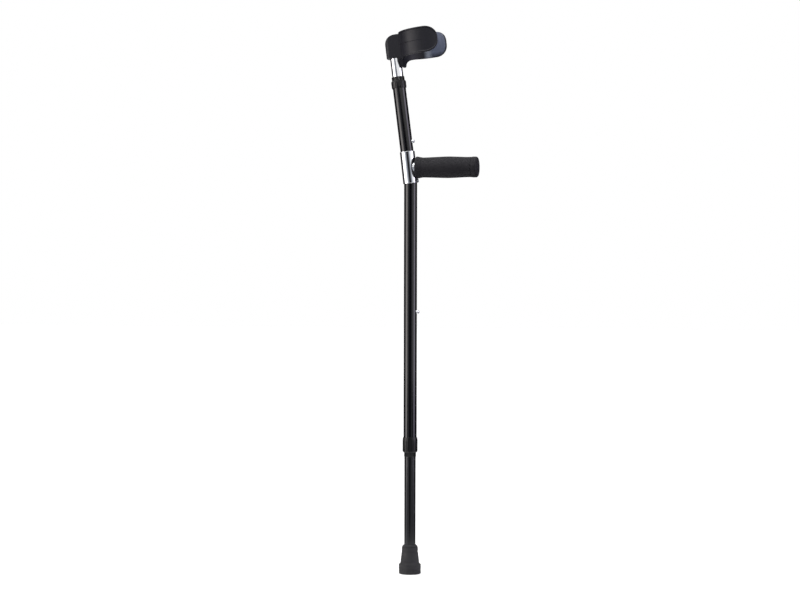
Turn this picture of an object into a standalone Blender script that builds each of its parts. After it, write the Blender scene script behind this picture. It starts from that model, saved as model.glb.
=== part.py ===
"""Forearm crutch with a height-adjustable leg and forearm tube, a side hand grip and an open forearm cuff.

Metres, +Z up. The main tube's lower run stands on the Z axis, the grip points along +X, and the centre of the
foot's sole is the origin. The main tube bends back at the grip. What lies above the bend is placed in the
empty "upper_frame", whose local Z runs along the leaning tube and whose local X points forward across it.
"""

import math

import bmesh
import bpy
from mathutils import Matrix, Vector

# Tubes. The outer tube is a stock 7/8 inch size and the two inner ones, which slide in it, are 3/4 inch.
MAIN_DIAMETER = 0.0222
MAIN_WALL = 0.0012
INNER_WALL = 0.0012
BEND_HEIGHT = 0.6650
BEND_RADIUS = 0.060
UPPER_LEAN = math.radians(7.27)
LEG_TUBE_LENGTH = 0.4586
FOREARM_TUBE_BOTTOM = 0.0370

# Snap buttons and the holes that they stand in. The spare lengths of main tube lie past the last holes.
BUTTON_DIAMETER = 0.00635
BUTTON_PROUD = 0.0044
BUTTON_SHOULDER_RADIUS = 0.0040
BUTTON_SHOULDER = 0.0010
BUTTON_FROM_TUBE_END = 0.0300
HOLE_PITCH = 0.0254
LEG_HOLES = 7
LEG_SPARE = 0.0783
FOREARM_HOLES = 4
FOREARM_SPARE = 0.0218
SPRING_THICKNESS = 0.0006
SPRING_WIDTH = 0.0070
SPRING_LENGTH = 0.0350

# Foot. The walls are the rubber's thickness round the leg tube.
FERRULE_HEIGHT = 0.0495
FERRULE_FLOOR = 0.0130
FERRULE_NECK_WALL = 0.0034
FERRULE_WAIST_WALL = 0.0056
FERRULE_BASE_WALL = 0.0085
FERRULE_BASE_HEIGHT = 0.0150
FERRULE_WAIST_HEIGHT = 0.0220
FERRULE_LIP = 0.0027
FERRULE_GROOVE_DROP = 0.0109
TREAD_WIDTH = 0.0021
TREAD_PITCH = 0.0040
TREAD_DEPTH = 0.0012
WASHER_THICKNESS = 0.0015
WASHER_HOLE_RADIUS = 0.0030

# Lock nuts and their collets.
NUT_SKIRT = 0.00125
NUT_WALL = 0.0029
LEG_NUT_HEIGHT = 0.0253
FOREARM_NUT_HEIGHT = 0.0132
NUT_FLUTES = 16
FLUTE_RADIUS = 0.0015
FLUTE_DEPTH = 0.0005
COLLET_FLANGE = 0.0034
LEG_COLLET_WALL = 0.0006
LEG_COLLET_NECK = 0.0075
FOREARM_COLLET_WALL = 0.0009
FOREARM_COLLET_NECK = 0.0064
COLLET_SLOTS = 8
COLLET_SLOT_WIDTH = 0.0010
FINGER_SLOT_WIDTH = 0.0012

# Handle bracket, grip and cap.
SLEEVE_WALL = 0.0012
SLEEVE_HEIGHT = 0.0541
SLEEVE_BELOW_BEND = 0.0037
SLEEVE_OFFSET = 0.00005
SLEEVE_LEAN = math.radians(6.5)
STUB_RADIUS = 0.00795
STUB_WALL = 0.0015
STUB_BEAD = 0.0016
GRIP_ABOVE_BEND = 0.0231
GRIP_START = 0.0096
GRIP_LENGTH = 0.0961
STUB_SHORT_OF_GRIP = 0.0017
CAP_THICKNESS = 0.0104
CAP_RADIUS = 0.0175
CAP_PLUG = 0.0120
RIVET_HEIGHT = 0.0034
RIVET_SHANK_RADIUS = 0.0016
RIVET_HEAD_RADIUS = 0.0031
RIVET_DOME = 0.0014

# Cuff. The band is a flat moulding bent to a circle round the forearm, in front of the socket for the tube.
CUFF_RADIUS = 0.0420
CUFF_WALL = 0.0030
CUFF_HEIGHT = 0.0435
CUFF_ABOVE_COLLET = 0.0146
CUFF_HALF_ANGLE = math.radians(127.0)
CUFF_CORNER_ALONG = 0.0220
CUFF_CORNER_UP = 0.0185
RIM_WIDTH = 0.0030
RIM_PROUD = 0.0008
SADDLE_WALL = 0.0015
TONGUE_LENGTH = 0.0148
TONGUE_HALF_WIDTH = 0.0100
TONGUE_FLARE = 0.0380
HOUSING_BACK_WALL = 0.0042
HOUSING_SIDE_WALL = 0.0030
HOUSING_TOP_DROP = 0.0020
HOUSING_BOTTOM_RISE = 0.0024
HOUSING_ROOF = 0.0067
HOUSING_SIDE_CORNER = 0.0070
HOUSING_TOP_CORNER = 0.0185
PLUG_FLANGE = 0.0015
PLUG_LENGTH = 0.0280
SCREW_RADIUS = 0.00175
SCREW_HEAD_RADIUS = 0.0037
SCREW_BELOW_TUBE_TOP = 0.0060
SCREW_PITCH = 0.0150

# Clearances.
GAP = 0.0003
SLIDE_GAP = 0.000375
COLLET_GAP = 0.0002

ROUND = 28
SMALL_ROUND = 16
MERGE = 0.00001

# Sizes that follow from the ones above. Heights up the forearm tube are measured from the bend.
MAIN_RADIUS = MAIN_DIAMETER / 2
MAIN_BORE = MAIN_RADIUS - MAIN_WALL
INNER_RADIUS = MAIN_BORE - SLIDE_GAP
INNER_BORE = INNER_RADIUS - INNER_WALL
BEND_TANGENT = BEND_RADIUS * math.tan(UPPER_LEAN / 2)
FERRULE_BORE = INNER_RADIUS + GAP
BUTTON_RADIUS = BUTTON_DIAMETER / 2
BUTTON_HOLE_RADIUS = BUTTON_RADIUS + GAP
BUTTON_SEAT = INNER_BORE - GAP - BUTTON_SHOULDER * 2
LEG_TUBE_BOTTOM = FERRULE_FLOOR + WASHER_THICKNESS + 2 * GAP
LEG_TUBE_TOP = LEG_TUBE_BOTTOM + LEG_TUBE_LENGTH
LEG_BUTTON_HEIGHT = LEG_TUBE_TOP - BUTTON_FROM_TUBE_END
MAIN_BOTTOM = LEG_BUTTON_HEIGHT - HOLE_PITCH * (LEG_HOLES - 1) - LEG_SPARE
FOREARM_BUTTON_HEIGHT = FOREARM_TUBE_BOTTOM + BUTTON_FROM_TUBE_END
MAIN_UPPER_RUN = FOREARM_BUTTON_HEIGHT + HOLE_PITCH * (FOREARM_HOLES - 1) + FOREARM_SPARE
NUT_BORE = MAIN_RADIUS + GAP
NUT_RADIUS = NUT_BORE + NUT_SKIRT
COLLET_BORE = INNER_RADIUS + COLLET_GAP
COLLET_REACH = GAP + COLLET_FLANGE + NUT_WALL + 2 * GAP
SLEEVE_RADIUS = MAIN_RADIUS + GAP + SLEEVE_WALL
SLEEVE_BOTTOM = BEND_HEIGHT - SLEEVE_BELOW_BEND
STUB_BORE = STUB_RADIUS - STUB_WALL
GRIP_HEIGHT = BEND_HEIGHT + GRIP_ABOVE_BEND
GRIP_END = GRIP_START + GRIP_LENGTH
STUB_END = GRIP_END - STUB_SHORT_OF_GRIP
SOCKET_RADIUS = INNER_RADIUS + GAP
CUFF_FACE = SOCKET_RADIUS + SADDLE_WALL + CUFF_WALL
CUFF_CENTRE = CUFF_FACE + CUFF_RADIUS
TONGUE_TIP = MAIN_UPPER_RUN + COLLET_REACH + FOREARM_COLLET_NECK + CUFF_ABOVE_COLLET
CUFF_BOTTOM = TONGUE_TIP + TONGUE_LENGTH
HOUSING_TOP = CUFF_BOTTOM + CUFF_HEIGHT - HOUSING_TOP_DROP
FOREARM_TUBE_TOP = HOUSING_TOP - HOUSING_ROOF - PLUG_FLANGE - 2 * GAP
FOREARM_TUBE_LENGTH = FOREARM_TUBE_TOP - FOREARM_TUBE_BOTTOM

# Directions for turned pieces that don't stand upright: local Z is laid along the frame's X.
ALONG_X = (0.0, math.pi / 2, 0.0)
# Planes for flat outlines: (x, y), (x, z) and (y, z) of the frame.
PLAN = Matrix.Identity(4)
SIDE = Matrix(((1, 0, 0, 0), (0, 0, -1, 0), (0, 1, 0, 0), (0, 0, 0, 1)))
FRONT = Matrix(((0, 0, 1, 0), (1, 0, 0, 0), (0, 1, 0, 0), (0, 0, 0, 1)))


# Scene, collections, frames and materials.

for old in list(bpy.data.objects):
    bpy.data.objects.remove(old, do_unlink=True)

PARTS = bpy.data.collections.new("forearm_crutch")
CUTTERS = bpy.data.collections.new("forearm_crutch_cutters")
bpy.context.scene.collection.children.link(PARTS)
bpy.context.scene.collection.children.link(CUTTERS)
CUTTERS.hide_render = True


def empty(name, location, lean):
    frame = bpy.data.objects.new(name, None)
    frame.empty_display_size = 0.02
    frame.location = location
    frame.rotation_euler = (0.0, -lean, 0.0)
    PARTS.objects.link(frame)
    return frame


SHAFT = empty("shaft_frame", (0.0, 0.0, 0.0), 0.0)
UPPER = empty("upper_frame", (0.0, 0.0, BEND_HEIGHT), UPPER_LEAN)
BRACKET = empty("bracket_frame", (SLEEVE_OFFSET, 0.0, SLEEVE_BOTTOM), SLEEVE_LEAN)
bpy.context.view_layer.update()


def linear(channel):
    return channel / 12.92 if channel <= 0.04045 else ((channel + 0.055) / 1.055) ** 2.4


def material(name, colour, roughness, metallic):
    """A Principled material from a hex colour as it looks on screen."""
    made = bpy.data.materials.new(name)
    made.use_nodes = True
    shader = made.node_tree.nodes["Principled BSDF"]
    channels = [linear(int(colour[i : i + 2], 16) / 255) for i in (0, 2, 4)]
    shader.inputs["Base Color"].default_value = (*channels, 1.0)
    shader.inputs["Roughness"].default_value = roughness
    shader.inputs["Metallic"].default_value = metallic
    return made


GLOSS_BLACK = material("black_painted_tube", "0D0E12", 0.22, 0.0)
SATIN_BLACK = material("black_anodised_tube", "17181B", 0.35, 0.0)
CHROME = material("chrome_plate", "D5D8DC", 0.08, 1.0)
STEEL = material("bare_steel", "8E9196", 0.35, 1.0)
RUBBER = material("grey_rubber", "3A3B3D", 0.85, 0.0)
GRIP_PLASTIC = material("charcoal_grip", "2C2D30", 0.65, 0.0)
CUFF_PLASTIC = material("dark_grey_plastic", "26272B", 0.35, 0.0)
NUT_PLASTIC = material("matt_black_plastic", "1B1C1E", 0.55, 0.0)
GUIDE_PLASTIC = material("natural_plastic", "C9C8C0", 0.5, 0.0)


# Modelling helpers.


def place(obj, frame, at=(0.0, 0.0, 0.0), turn=(0.0, 0.0, 0.0)):
    obj.parent = frame
    obj.location = at
    obj.rotation_euler = turn
    return obj


def link(name, mesh, cutter):
    obj = bpy.data.objects.new(name, mesh)
    if cutter:
        CUTTERS.objects.link(obj)
        obj.hide_render = True
        obj.display_type = "WIRE"
    else:
        PARTS.objects.link(obj)
    return obj


def turned(name, profile, segments=ROUND, cutter=False):
    """A profile of (radius, height) points turned round Z, which runs down its outer side. One that starts on
    the axis makes a solid, and any other is closed into a ring."""
    mesh = bpy.data.meshes.new(name)
    points = [(radius, 0.0, height) for radius, height in profile]
    edges = [(i, i + 1) for i in range(len(points) - 1)]
    if profile[0][0] > 0:
        edges.append((len(points) - 1, 0))
    mesh.from_pydata(points, edges, [])
    obj = link(name, mesh, cutter)
    screw = obj.modifiers.new("Turn", "SCREW")
    screw.steps = segments
    screw.render_steps = segments
    screw.use_merge_vertices = True
    screw.merge_threshold = MERGE
    return obj


def cylinders(name, pins, segments=SMALL_ROUND):
    """One cutter of separate cylinders, each from its matrix's origin up its Z for the length given."""
    bm = bmesh.new()
    for matrix, radius, length in pins:
        middle = matrix @ Matrix.Translation((0, 0, length / 2))
        bmesh.ops.create_cone(
            bm,
            cap_ends=True,
            segments=segments,
            radius1=radius,
            radius2=radius,
            depth=length,
            matrix=middle,
        )
    mesh = bpy.data.meshes.new(name)
    bm.to_mesh(mesh)
    bm.free()
    return link(name, mesh, True)


def as_mesh(curve_object, cutter):
    """A mesh object in place of the curve, with its caps welded. The curve is removed."""
    name = curve_object.name
    bpy.context.view_layer.update()
    graph = bpy.context.evaluated_depsgraph_get()
    mesh = bpy.data.meshes.new_from_object(curve_object.evaluated_get(graph))
    matrix = curve_object.matrix_world.copy()
    curve = curve_object.data
    bpy.data.objects.remove(curve_object, do_unlink=True)
    bpy.data.curves.remove(curve)
    bm = bmesh.new()
    bm.from_mesh(mesh)
    bmesh.ops.remove_doubles(bm, verts=bm.verts, dist=MERGE / 10)
    bmesh.ops.recalc_face_normals(bm, faces=bm.faces)
    bm.to_mesh(mesh)
    bm.free()
    mesh.materials.clear()
    obj = link(name, mesh, cutter)
    obj.matrix_world = matrix
    return obj


def prism(name, outline, low, high, plane, cutter=True):
    """A flat outline on one of the frame's planes, made solid from low to high across it."""
    curve = bpy.data.curves.new(name, "CURVE")
    curve.dimensions = "2D"
    curve.fill_mode = "BOTH"
    curve.extrude = (high - low) / 2
    spline = curve.splines.new("POLY")
    spline.points.add(len(outline) - 1)
    for point, (across, up) in zip(spline.points, outline):
        point.co = (across, up, 0.0, 1.0)
    spline.use_cyclic_u = True
    drawn = bpy.data.objects.new(name, curve)
    PARTS.objects.link(drawn)
    solid = as_mesh(drawn, cutter)
    solid.data.transform(plane @ Matrix.Translation((0, 0, (low + high) / 2)))
    return solid


def swept(name, path, radius, caps, cutter):
    """A round bar or open pipe along a path of points."""
    curve = bpy.data.curves.new(name, "CURVE")
    curve.dimensions = "3D"
    curve.bevel_depth = radius
    curve.bevel_resolution = ROUND // 2 - 2
    curve.use_fill_caps = caps
    spline = curve.splines.new("POLY")
    spline.points.add(len(path) - 1)
    for point, co in zip(spline.points, path):
        point.co = (*co, 1.0)
    drawn = bpy.data.objects.new(name, curve)
    PARTS.objects.link(drawn)
    return as_mesh(drawn, cutter)


def combine(target, tool, operation="DIFFERENCE"):
    modifier = target.modifiers.new(tool.name, "BOOLEAN")
    modifier.operation = operation
    modifier.solver = "EXACT"
    modifier.object = tool
    return target


def arc(centre, radius, start, end, steps, squash=1.0):
    """Points on an arc, angles in degrees from the outline's first axis. Squash scales the second axis."""
    points = []
    for i in range(steps + 1):
        angle = math.radians(start + (end - start) * i / steps)
        points.append((centre[0] + radius * math.cos(angle), centre[1] + radius * squash * math.sin(angle)))
    return points


def rounded(corners, steps=5):
    """A closed outline from (x, y, fillet radius) corners, each fillet tangent to both of its sides."""
    outline = []
    count = len(corners)
    for i, (x, y, radius) in enumerate(corners):
        here = Vector((x, y))
        before = (Vector(corners[i - 1][:2]) - here).normalized()
        after = (Vector(corners[(i + 1) % count][:2]) - here).normalized()
        if radius <= 0:
            outline.append((x, y))
            continue
        half = before.angle(after) / 2
        centre = here + (before + after).normalized() * (radius / math.sin(half))
        first = here + before * (radius / math.tan(half))
        last = here + after * (radius / math.tan(half))
        start = math.atan2(*(first - centre).yx)
        sweep = math.atan2(*(last - centre).yx) - start
        sweep = (sweep + math.pi) % (2 * math.pi) - math.pi
        for step in range(steps + 1):
            angle = start + sweep * step / steps
            outline.append((centre.x + radius * math.cos(angle), centre.y + radius * math.sin(angle)))
    return outline


def smooth(stations, steps):
    """A curve through (x, y) stations, with steps points between each two (Catmull-Rom)."""
    ends = [stations[0], *stations, stations[-1]]
    points = []
    for a, b, c, d in zip(ends, ends[1:], ends[2:], ends[3:]):
        for i in range(steps):
            f = i / steps
            point = []
            for p, q, r, s in zip(a, b, c, d):
                bend = 2 * p - 5 * q + 4 * r - s
                twist = 3 * q - p - 3 * r + s
                point.append((2 * q + (r - p) * f + bend * f**2 + twist * f**3) / 2)
            points.append(tuple(point))
    points.append(stations[-1])
    return points


def finish(obj, surface):
    """Applies the modifiers, sets the material and shades the round faces smooth."""
    bpy.context.view_layer.update()
    graph = bpy.context.evaluated_depsgraph_get()
    mesh = bpy.data.meshes.new_from_object(obj.evaluated_get(graph))
    draft = obj.data
    obj.modifiers.clear()
    obj.data = mesh
    mesh.name = obj.name
    bpy.data.meshes.remove(draft)
    mesh.materials.clear()
    mesh.materials.append(surface)
    mesh.shade_smooth()
    mesh.set_sharp_from_angle(angle=math.radians(30))
    return obj


# Main tube.


def tube_path(bottom, upper_run):
    """The main tube's centre line: up the Z axis, round the bend and along the leaning run."""
    path = [(0.0, 0.0, bottom)]
    start = BEND_HEIGHT - BEND_TANGENT
    steps = 4
    for i in range(steps + 1):
        angle = UPPER_LEAN * i / steps
        path.append((BEND_RADIUS * (math.cos(angle) - 1), 0.0, start + BEND_RADIUS * math.sin(angle)))
    path.append((-upper_run * math.sin(UPPER_LEAN), 0.0, BEND_HEIGHT + upper_run * math.cos(UPPER_LEAN)))
    return path


def wall_holes(name, frame, heights, radius, wall_radius):
    """Holes through the forward wall of a tube of the given radius, one at each height up the frame."""
    turn = Matrix.Rotation(math.pi / 2, 4, "Y")
    start = wall_radius / 3
    pins = [(Matrix.Translation((start, 0, height)) @ turn, radius, wall_radius) for height in heights]
    return place(cylinders(name, pins), frame)


def main_tube():
    tube = swept("main_tube", tube_path(MAIN_BOTTOM, MAIN_UPPER_RUN), MAIN_RADIUS, False, False)
    wall = tube.modifiers.new("Wall", "SOLIDIFY")
    wall.thickness = MAIN_WALL
    wall.offset = -1
    wall.use_even_offset = True
    low = [LEG_BUTTON_HEIGHT - HOLE_PITCH * i for i in range(LEG_HOLES)]
    high = [FOREARM_BUTTON_HEIGHT + HOLE_PITCH * i for i in range(FOREARM_HOLES)]
    rivet = RIVET_SHANK_RADIUS + GAP
    combine(tube, wall_holes("leg_button_holes", SHAFT, low, BUTTON_HOLE_RADIUS, MAIN_RADIUS))
    combine(tube, wall_holes("forearm_button_holes", UPPER, high, BUTTON_HOLE_RADIUS, MAIN_RADIUS))
    combine(tube, wall_holes("rivet_hole_in_tube", BRACKET, [RIVET_HEIGHT], rivet, MAIN_RADIUS))
    finish(tube, GLOSS_BLACK)


# Leg: foot, inner tube and the plug that guides it.


def ferrule():
    """A rubber foot: a flared base, a grooved neck with a sloped lip, and rings of tread under it."""
    top = FERRULE_HEIGHT
    groove = top - FERRULE_GROOVE_DROP
    neck = FERRULE_BORE + FERRULE_NECK_WALL
    waist = FERRULE_BORE + FERRULE_WAIST_WALL
    base = FERRULE_BORE + FERRULE_BASE_WALL
    flare = base - waist + 0.0036
    edge = 0.0022
    profile = [(0.0, FERRULE_FLOOR), (FERRULE_BORE, FERRULE_FLOOR), (FERRULE_BORE, top - 0.0006)]
    profile += [(FERRULE_BORE + 0.0006, top)]
    profile += [(neck - 0.0003, top - FERRULE_LIP), (neck, top - FERRULE_LIP - 0.0006)]
    profile += [(neck + 0.0002, groove), (neck - 0.0004, groove - 0.0005)]
    profile += [(neck - 0.0004, groove - 0.0012), (neck + 0.0004, groove - 0.0017)]
    profile += [(waist, FERRULE_WAIST_HEIGHT)]
    profile += arc((waist + flare, FERRULE_WAIST_HEIGHT), flare, 193, 238, 3)
    profile += [(base, FERRULE_BASE_HEIGHT)]
    profile += arc((base - edge, edge), edge, 0, -90, 2)
    for i in range(2):
        outer = base - TREAD_PITCH * (i + 1)
        inner = outer - TREAD_WIDTH
        profile += [(outer, 0.0), (outer - 0.0003, TREAD_DEPTH), (inner + 0.0003, TREAD_DEPTH), (inner, 0.0)]
    profile += [(0.0, 0.0)]
    finish(place(turned("ferrule", profile), SHAFT), RUBBER)


def ferrule_washer():
    radius = INNER_RADIUS
    profile = [
        (WASHER_HOLE_RADIUS, WASHER_THICKNESS),
        (radius, WASHER_THICKNESS),
        (radius, 0.0),
        (WASHER_HOLE_RADIUS, 0.0),
    ]
    finish(place(turned("ferrule_washer", profile), SHAFT, (0, 0, FERRULE_FLOOR + GAP)), STEEL)


def inner_tube(name, length):
    """A plain length of the thinner tube, standing on its own origin."""
    profile = [(INNER_BORE, length), (INNER_RADIUS, length), (INNER_RADIUS, 0.0), (INNER_BORE, 0.0)]
    return turned(name, profile)


def leg_tube():
    tube = place(inner_tube("leg_tube", LEG_TUBE_LENGTH), SHAFT, (0, 0, LEG_TUBE_BOTTOM))
    hole = wall_holes("leg_tube_hole", SHAFT, [LEG_BUTTON_HEIGHT], BUTTON_HOLE_RADIUS, INNER_RADIUS)
    finish(combine(tube, hole), SATIN_BLACK)


def glide(name, frame, end, up):
    """A plug in a tube's hidden end, whose flange runs in the main tube's bore. Up is 1 at a top end."""
    flange = MAIN_BORE - GAP
    spigot = INNER_BORE - GAP
    height = 0.0035
    depth = 0.0120
    profile = [
        (0.0, height),
        (flange - 0.0010, height),
        (flange, height - 0.0010),
        (flange, 0.0),
        (spigot, 0.0),
        (spigot, -depth + 0.0010),
        (spigot - 0.0008, -depth),
        (0.0, -depth),
    ]
    turn = (0.0, 0.0, 0.0) if up > 0 else (math.pi, 0.0, 0.0)
    finish(place(turned(name, profile), frame, (0, 0, end + up * GAP), turn), GUIDE_PLASTIC)


# Snap buttons. Each has a shoulder inside the inner tube and a domed end outside the main tube.


def snap_button(name, frame, height):
    length = MAIN_RADIUS + BUTTON_PROUD - BUTTON_SEAT
    dome = 0.0026
    profile = [(0.0, length)]
    profile += [
        (BUTTON_RADIUS * math.sin(a), length - dome * (1 - math.cos(a)))
        for a in (math.radians(18 * i) for i in range(1, 6))
    ]
    profile += [(BUTTON_RADIUS, BUTTON_SHOULDER), (BUTTON_SHOULDER_RADIUS, BUTTON_SHOULDER)]
    profile += [(BUTTON_SHOULDER_RADIUS, 0.0), (0.0, 0.0)]
    button = turned(name, profile, 20)
    finish(place(button, frame, (BUTTON_SEAT, 0, height), ALONG_X), CHROME)


def button_spring(name, frame, height, up):
    """A strip bent to a V in the inner tube: one arm carries the button, the other bears on the far wall."""
    seat = BUTTON_SEAT - GAP - SPRING_THICKNESS / 2
    bend = 0.0022
    far = SPRING_LENGTH - bend
    reach = math.sqrt(INNER_BORE**2 - (SPRING_WIDTH / 2) ** 2) - GAP - SPRING_THICKNESS / 2
    path = [(seat, -0.0060), (seat, 0.0060)]
    path += arc((0.0, far), bend, 0, 180, 8)
    path += [(-reach, 0.0080), (-reach, -0.0010), (-reach + 0.0016, -0.0045)]
    bm = bmesh.new()
    line = [bm.verts.new((x, -SPRING_WIDTH / 2, up * z)) for x, z in path]
    edges = [bm.edges.new(pair) for pair in zip(line, line[1:])]
    grown = bmesh.ops.extrude_edge_only(bm, edges=edges)["geom"]
    side = [item for item in grown if isinstance(item, bmesh.types.BMVert)]
    bmesh.ops.translate(bm, verts=side, vec=(0, SPRING_WIDTH, 0))
    bmesh.ops.recalc_face_normals(bm, faces=bm.faces)
    mesh = bpy.data.meshes.new(name)
    bm.to_mesh(mesh)
    bm.free()
    strip = place(link(name, mesh, False), frame, (0, 0, height))
    wall = strip.modifiers.new("Strip", "SOLIDIFY")
    wall.thickness = SPRING_THICKNESS
    wall.offset = 0
    wall.use_even_offset = True
    finish(strip, STEEL)


# Lock nuts and collets. Each is modelled with its open end up, and the lower pair stands as modelled.


def nut(name, frame, at, height, turn, mouth, taper):
    """A fluted ring that turns on the main tube's end, with an inner shoulder that draws the collet in."""
    profile = [
        (NUT_BORE, height),
        (NUT_RADIUS - taper * 0.14, height),
        (NUT_RADIUS, height - taper),
        (NUT_RADIUS, 0.0028),
        (NUT_RADIUS - 0.0009, 0.0),
        (mouth, 0.0),
        (mouth, NUT_WALL),
        (NUT_BORE, NUT_WALL),
    ]
    body = place(turned(name, profile), frame, at, turn)
    pins = []
    for i in range(NUT_FLUTES):
        spot = Matrix.Rotation(2 * math.pi * (i + 0.5) / NUT_FLUTES, 4, "Z")
        spot = spot @ Matrix.Translation((NUT_RADIUS - FLUTE_DEPTH + FLUTE_RADIUS, 0, -0.002))
        pins.append((spot, FLUTE_RADIUS, height + 0.004))
    flutes = place(cylinders(name + "_flutes", pins, 10), frame, at, turn)
    finish(combine(body, flutes), NUT_PLASTIC)


def collet(name, frame, at, neck, neck_radius, turn, slot):
    """A ring that grips the inner tube: a coned flange at the main tube's end and a slotted neck."""
    low = neck + NUT_WALL + 2 * GAP
    total = low + COLLET_FLANGE
    flange = NUT_BORE - GAP
    profile = [
        (COLLET_BORE, total),
        (flange, total),
        (flange, total - 0.0012),
        (neck_radius, low),
        (neck_radius, 0.0005),
        (neck_radius - 0.0003, 0.0),
        (COLLET_BORE, 0.0),
    ]
    ring = place(turned(name, profile), frame, at, turn)
    bm = bmesh.new()
    depth = low - 0.0008
    for i in range(COLLET_SLOTS):
        spot = Matrix.Rotation(2 * math.pi * (i + 0.5) / COLLET_SLOTS, 4, "Z")
        spot = spot @ Matrix.Translation((neck_radius, 0, depth / 2 - 0.001))
        box = Matrix.Diagonal((0.0060, slot, depth + 0.002, 1.0))
        bmesh.ops.create_cube(bm, size=1.0, matrix=spot @ box)
    mesh = bpy.data.meshes.new(name + "_slots")
    bm.to_mesh(mesh)
    bm.free()
    slots = place(link(name + "_slots", mesh, True), frame, at, turn)
    finish(combine(ring, slots), NUT_PLASTIC)


def lock_pair(prefix, frame, tube_end, up, neck, wall, slot, height, taper):
    """A collet and its nut on a tube end. Up is 1 at the leg's end, where the parts stand as modelled."""
    turn = (0.0, 0.0, 0.0) if up > 0 else (math.pi, 0.0, 0.0)
    neck_radius = COLLET_BORE + wall
    collet_at = tube_end - up * (COLLET_REACH + neck)
    nut_at = collet_at + up * neck
    collet(prefix + "_collet", frame, (0, 0, collet_at), neck, neck_radius, turn, slot)
    nut(prefix + "_lock_nut", frame, (0, 0, nut_at), height, turn, neck_radius + GAP, taper)


# Handle bracket, grip and cap.


def handle_bracket():
    """A sleeve over the bend with the grip's stub welded to it. Its bore follows the tube."""
    edge = 0.0003
    top = SLEEVE_HEIGHT
    inside = MAIN_RADIUS / 3
    bead = GRIP_START + 0.0034
    sleeve = turned(
        "handle_bracket",
        [
            (0.0, top),
            (SLEEVE_RADIUS - edge, top),
            (SLEEVE_RADIUS, top - edge),
            (SLEEVE_RADIUS, edge),
            (SLEEVE_RADIUS - edge, 0.0),
            (0.0, 0.0),
        ],
    )
    place(sleeve, BRACKET)
    start = (0.0, 0.0, GRIP_HEIGHT)
    stub = turned(
        "bracket_stub",
        [
            (0.0, STUB_END),
            (STUB_RADIUS - edge, STUB_END),
            (STUB_RADIUS, STUB_END - edge),
            (STUB_RADIUS, bead),
            (STUB_RADIUS + STUB_BEAD, bead - 0.0025),
            (STUB_RADIUS + STUB_BEAD, inside),
            (0.0, inside),
        ],
        cutter=True,
    )
    combine(sleeve, place(stub, SHAFT, start, ALONG_X), "UNION")
    path = tube_path(SLEEVE_BOTTOM - 0.010, SLEEVE_HEIGHT + 0.010)
    combine(sleeve, swept("sleeve_bore", path, MAIN_RADIUS + GAP, True, True))
    turn = Matrix.Rotation(math.pi / 2, 4, "Y")
    spot = Matrix.Translation((SLEEVE_RADIUS + 0.0004, 0, GRIP_HEIGHT)) @ turn
    combine(sleeve, place(cylinders("stub_bore", [(spot, STUB_BORE, STUB_END)], 32), SHAFT))
    rivet = RIVET_SHANK_RADIUS + GAP
    combine(sleeve, wall_holes("rivet_hole_in_sleeve", BRACKET, [RIVET_HEIGHT], rivet, SLEEVE_RADIUS))
    finish(sleeve, CHROME)


def bracket_rivet():
    """A blind rivet: a low dome outside the sleeve and the set tail inside the tube."""
    under_head = SLEEVE_RADIUS + GAP
    tail = MAIN_BORE - GAP - 0.0006
    edge = 0.0003
    profile = [(0.0, under_head + RIVET_DOME)]
    profile += [
        (RIVET_HEAD_RADIUS * math.sin(a), under_head + edge + (RIVET_DOME - edge) * math.cos(a))
        for a in (math.radians(22.5 * i) for i in range(1, 5))
    ]
    profile += [
        (RIVET_HEAD_RADIUS, under_head),
        (RIVET_SHANK_RADIUS, under_head),
        (RIVET_SHANK_RADIUS, tail),
        (RIVET_SHANK_RADIUS + 0.0009, tail - 0.0008),
        (RIVET_SHANK_RADIUS + 0.0004, tail - 0.0028),
        (0.0, tail - 0.0034),
    ]
    rivet = turned("bracket_rivet", profile, SMALL_ROUND)
    finish(place(rivet, BRACKET, (0, 0, RIVET_HEIGHT), ALONG_X), STEEL)


# Where along the grip, as a share of its length, and its radius there.
GRIP_STATIONS = (
    (0.023, 0.0187),
    (0.099, 0.0173),
    (0.146, 0.0169),
    (0.312, 0.0174),
    (0.551, 0.0182),
    (0.728, 0.0178),
    (0.895, 0.0171),
    (0.988, 0.0171),
)


def grip():
    """A waisted hand grip with a flared inner end, cut to sit round the sleeve."""
    length = GRIP_LENGTH
    bore = STUB_RADIUS + GAP
    wide = bore + STUB_BEAD + 0.0005
    outer = [(radius, along * length) for along, radius in smooth(GRIP_STATIONS, 2)]
    outer.reverse()
    end_radius = outer[0][0]
    profile = [(bore, length), (end_radius - 0.0006, length)] + outer
    profile += arc((GRIP_STATIONS[0][1] - 0.0020, 0.0020), 0.0020, 0, -90, 3)
    profile += [(wide, 0.0), (wide, 0.0040), (bore, 0.0060)]
    body = turned("grip", profile)
    place(body, SHAFT, (GRIP_START, 0, GRIP_HEIGHT), ALONG_X)
    high = SLEEVE_HEIGHT + 0.004
    relief = turned(
        "grip_saddle",
        [(0.0, high), (SLEEVE_RADIUS + GAP, high), (SLEEVE_RADIUS + GAP, -0.004), (0.0, -0.004)],
        cutter=True,
    )
    finish(combine(body, place(relief, BRACKET)), GRIP_PLASTIC)


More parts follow.
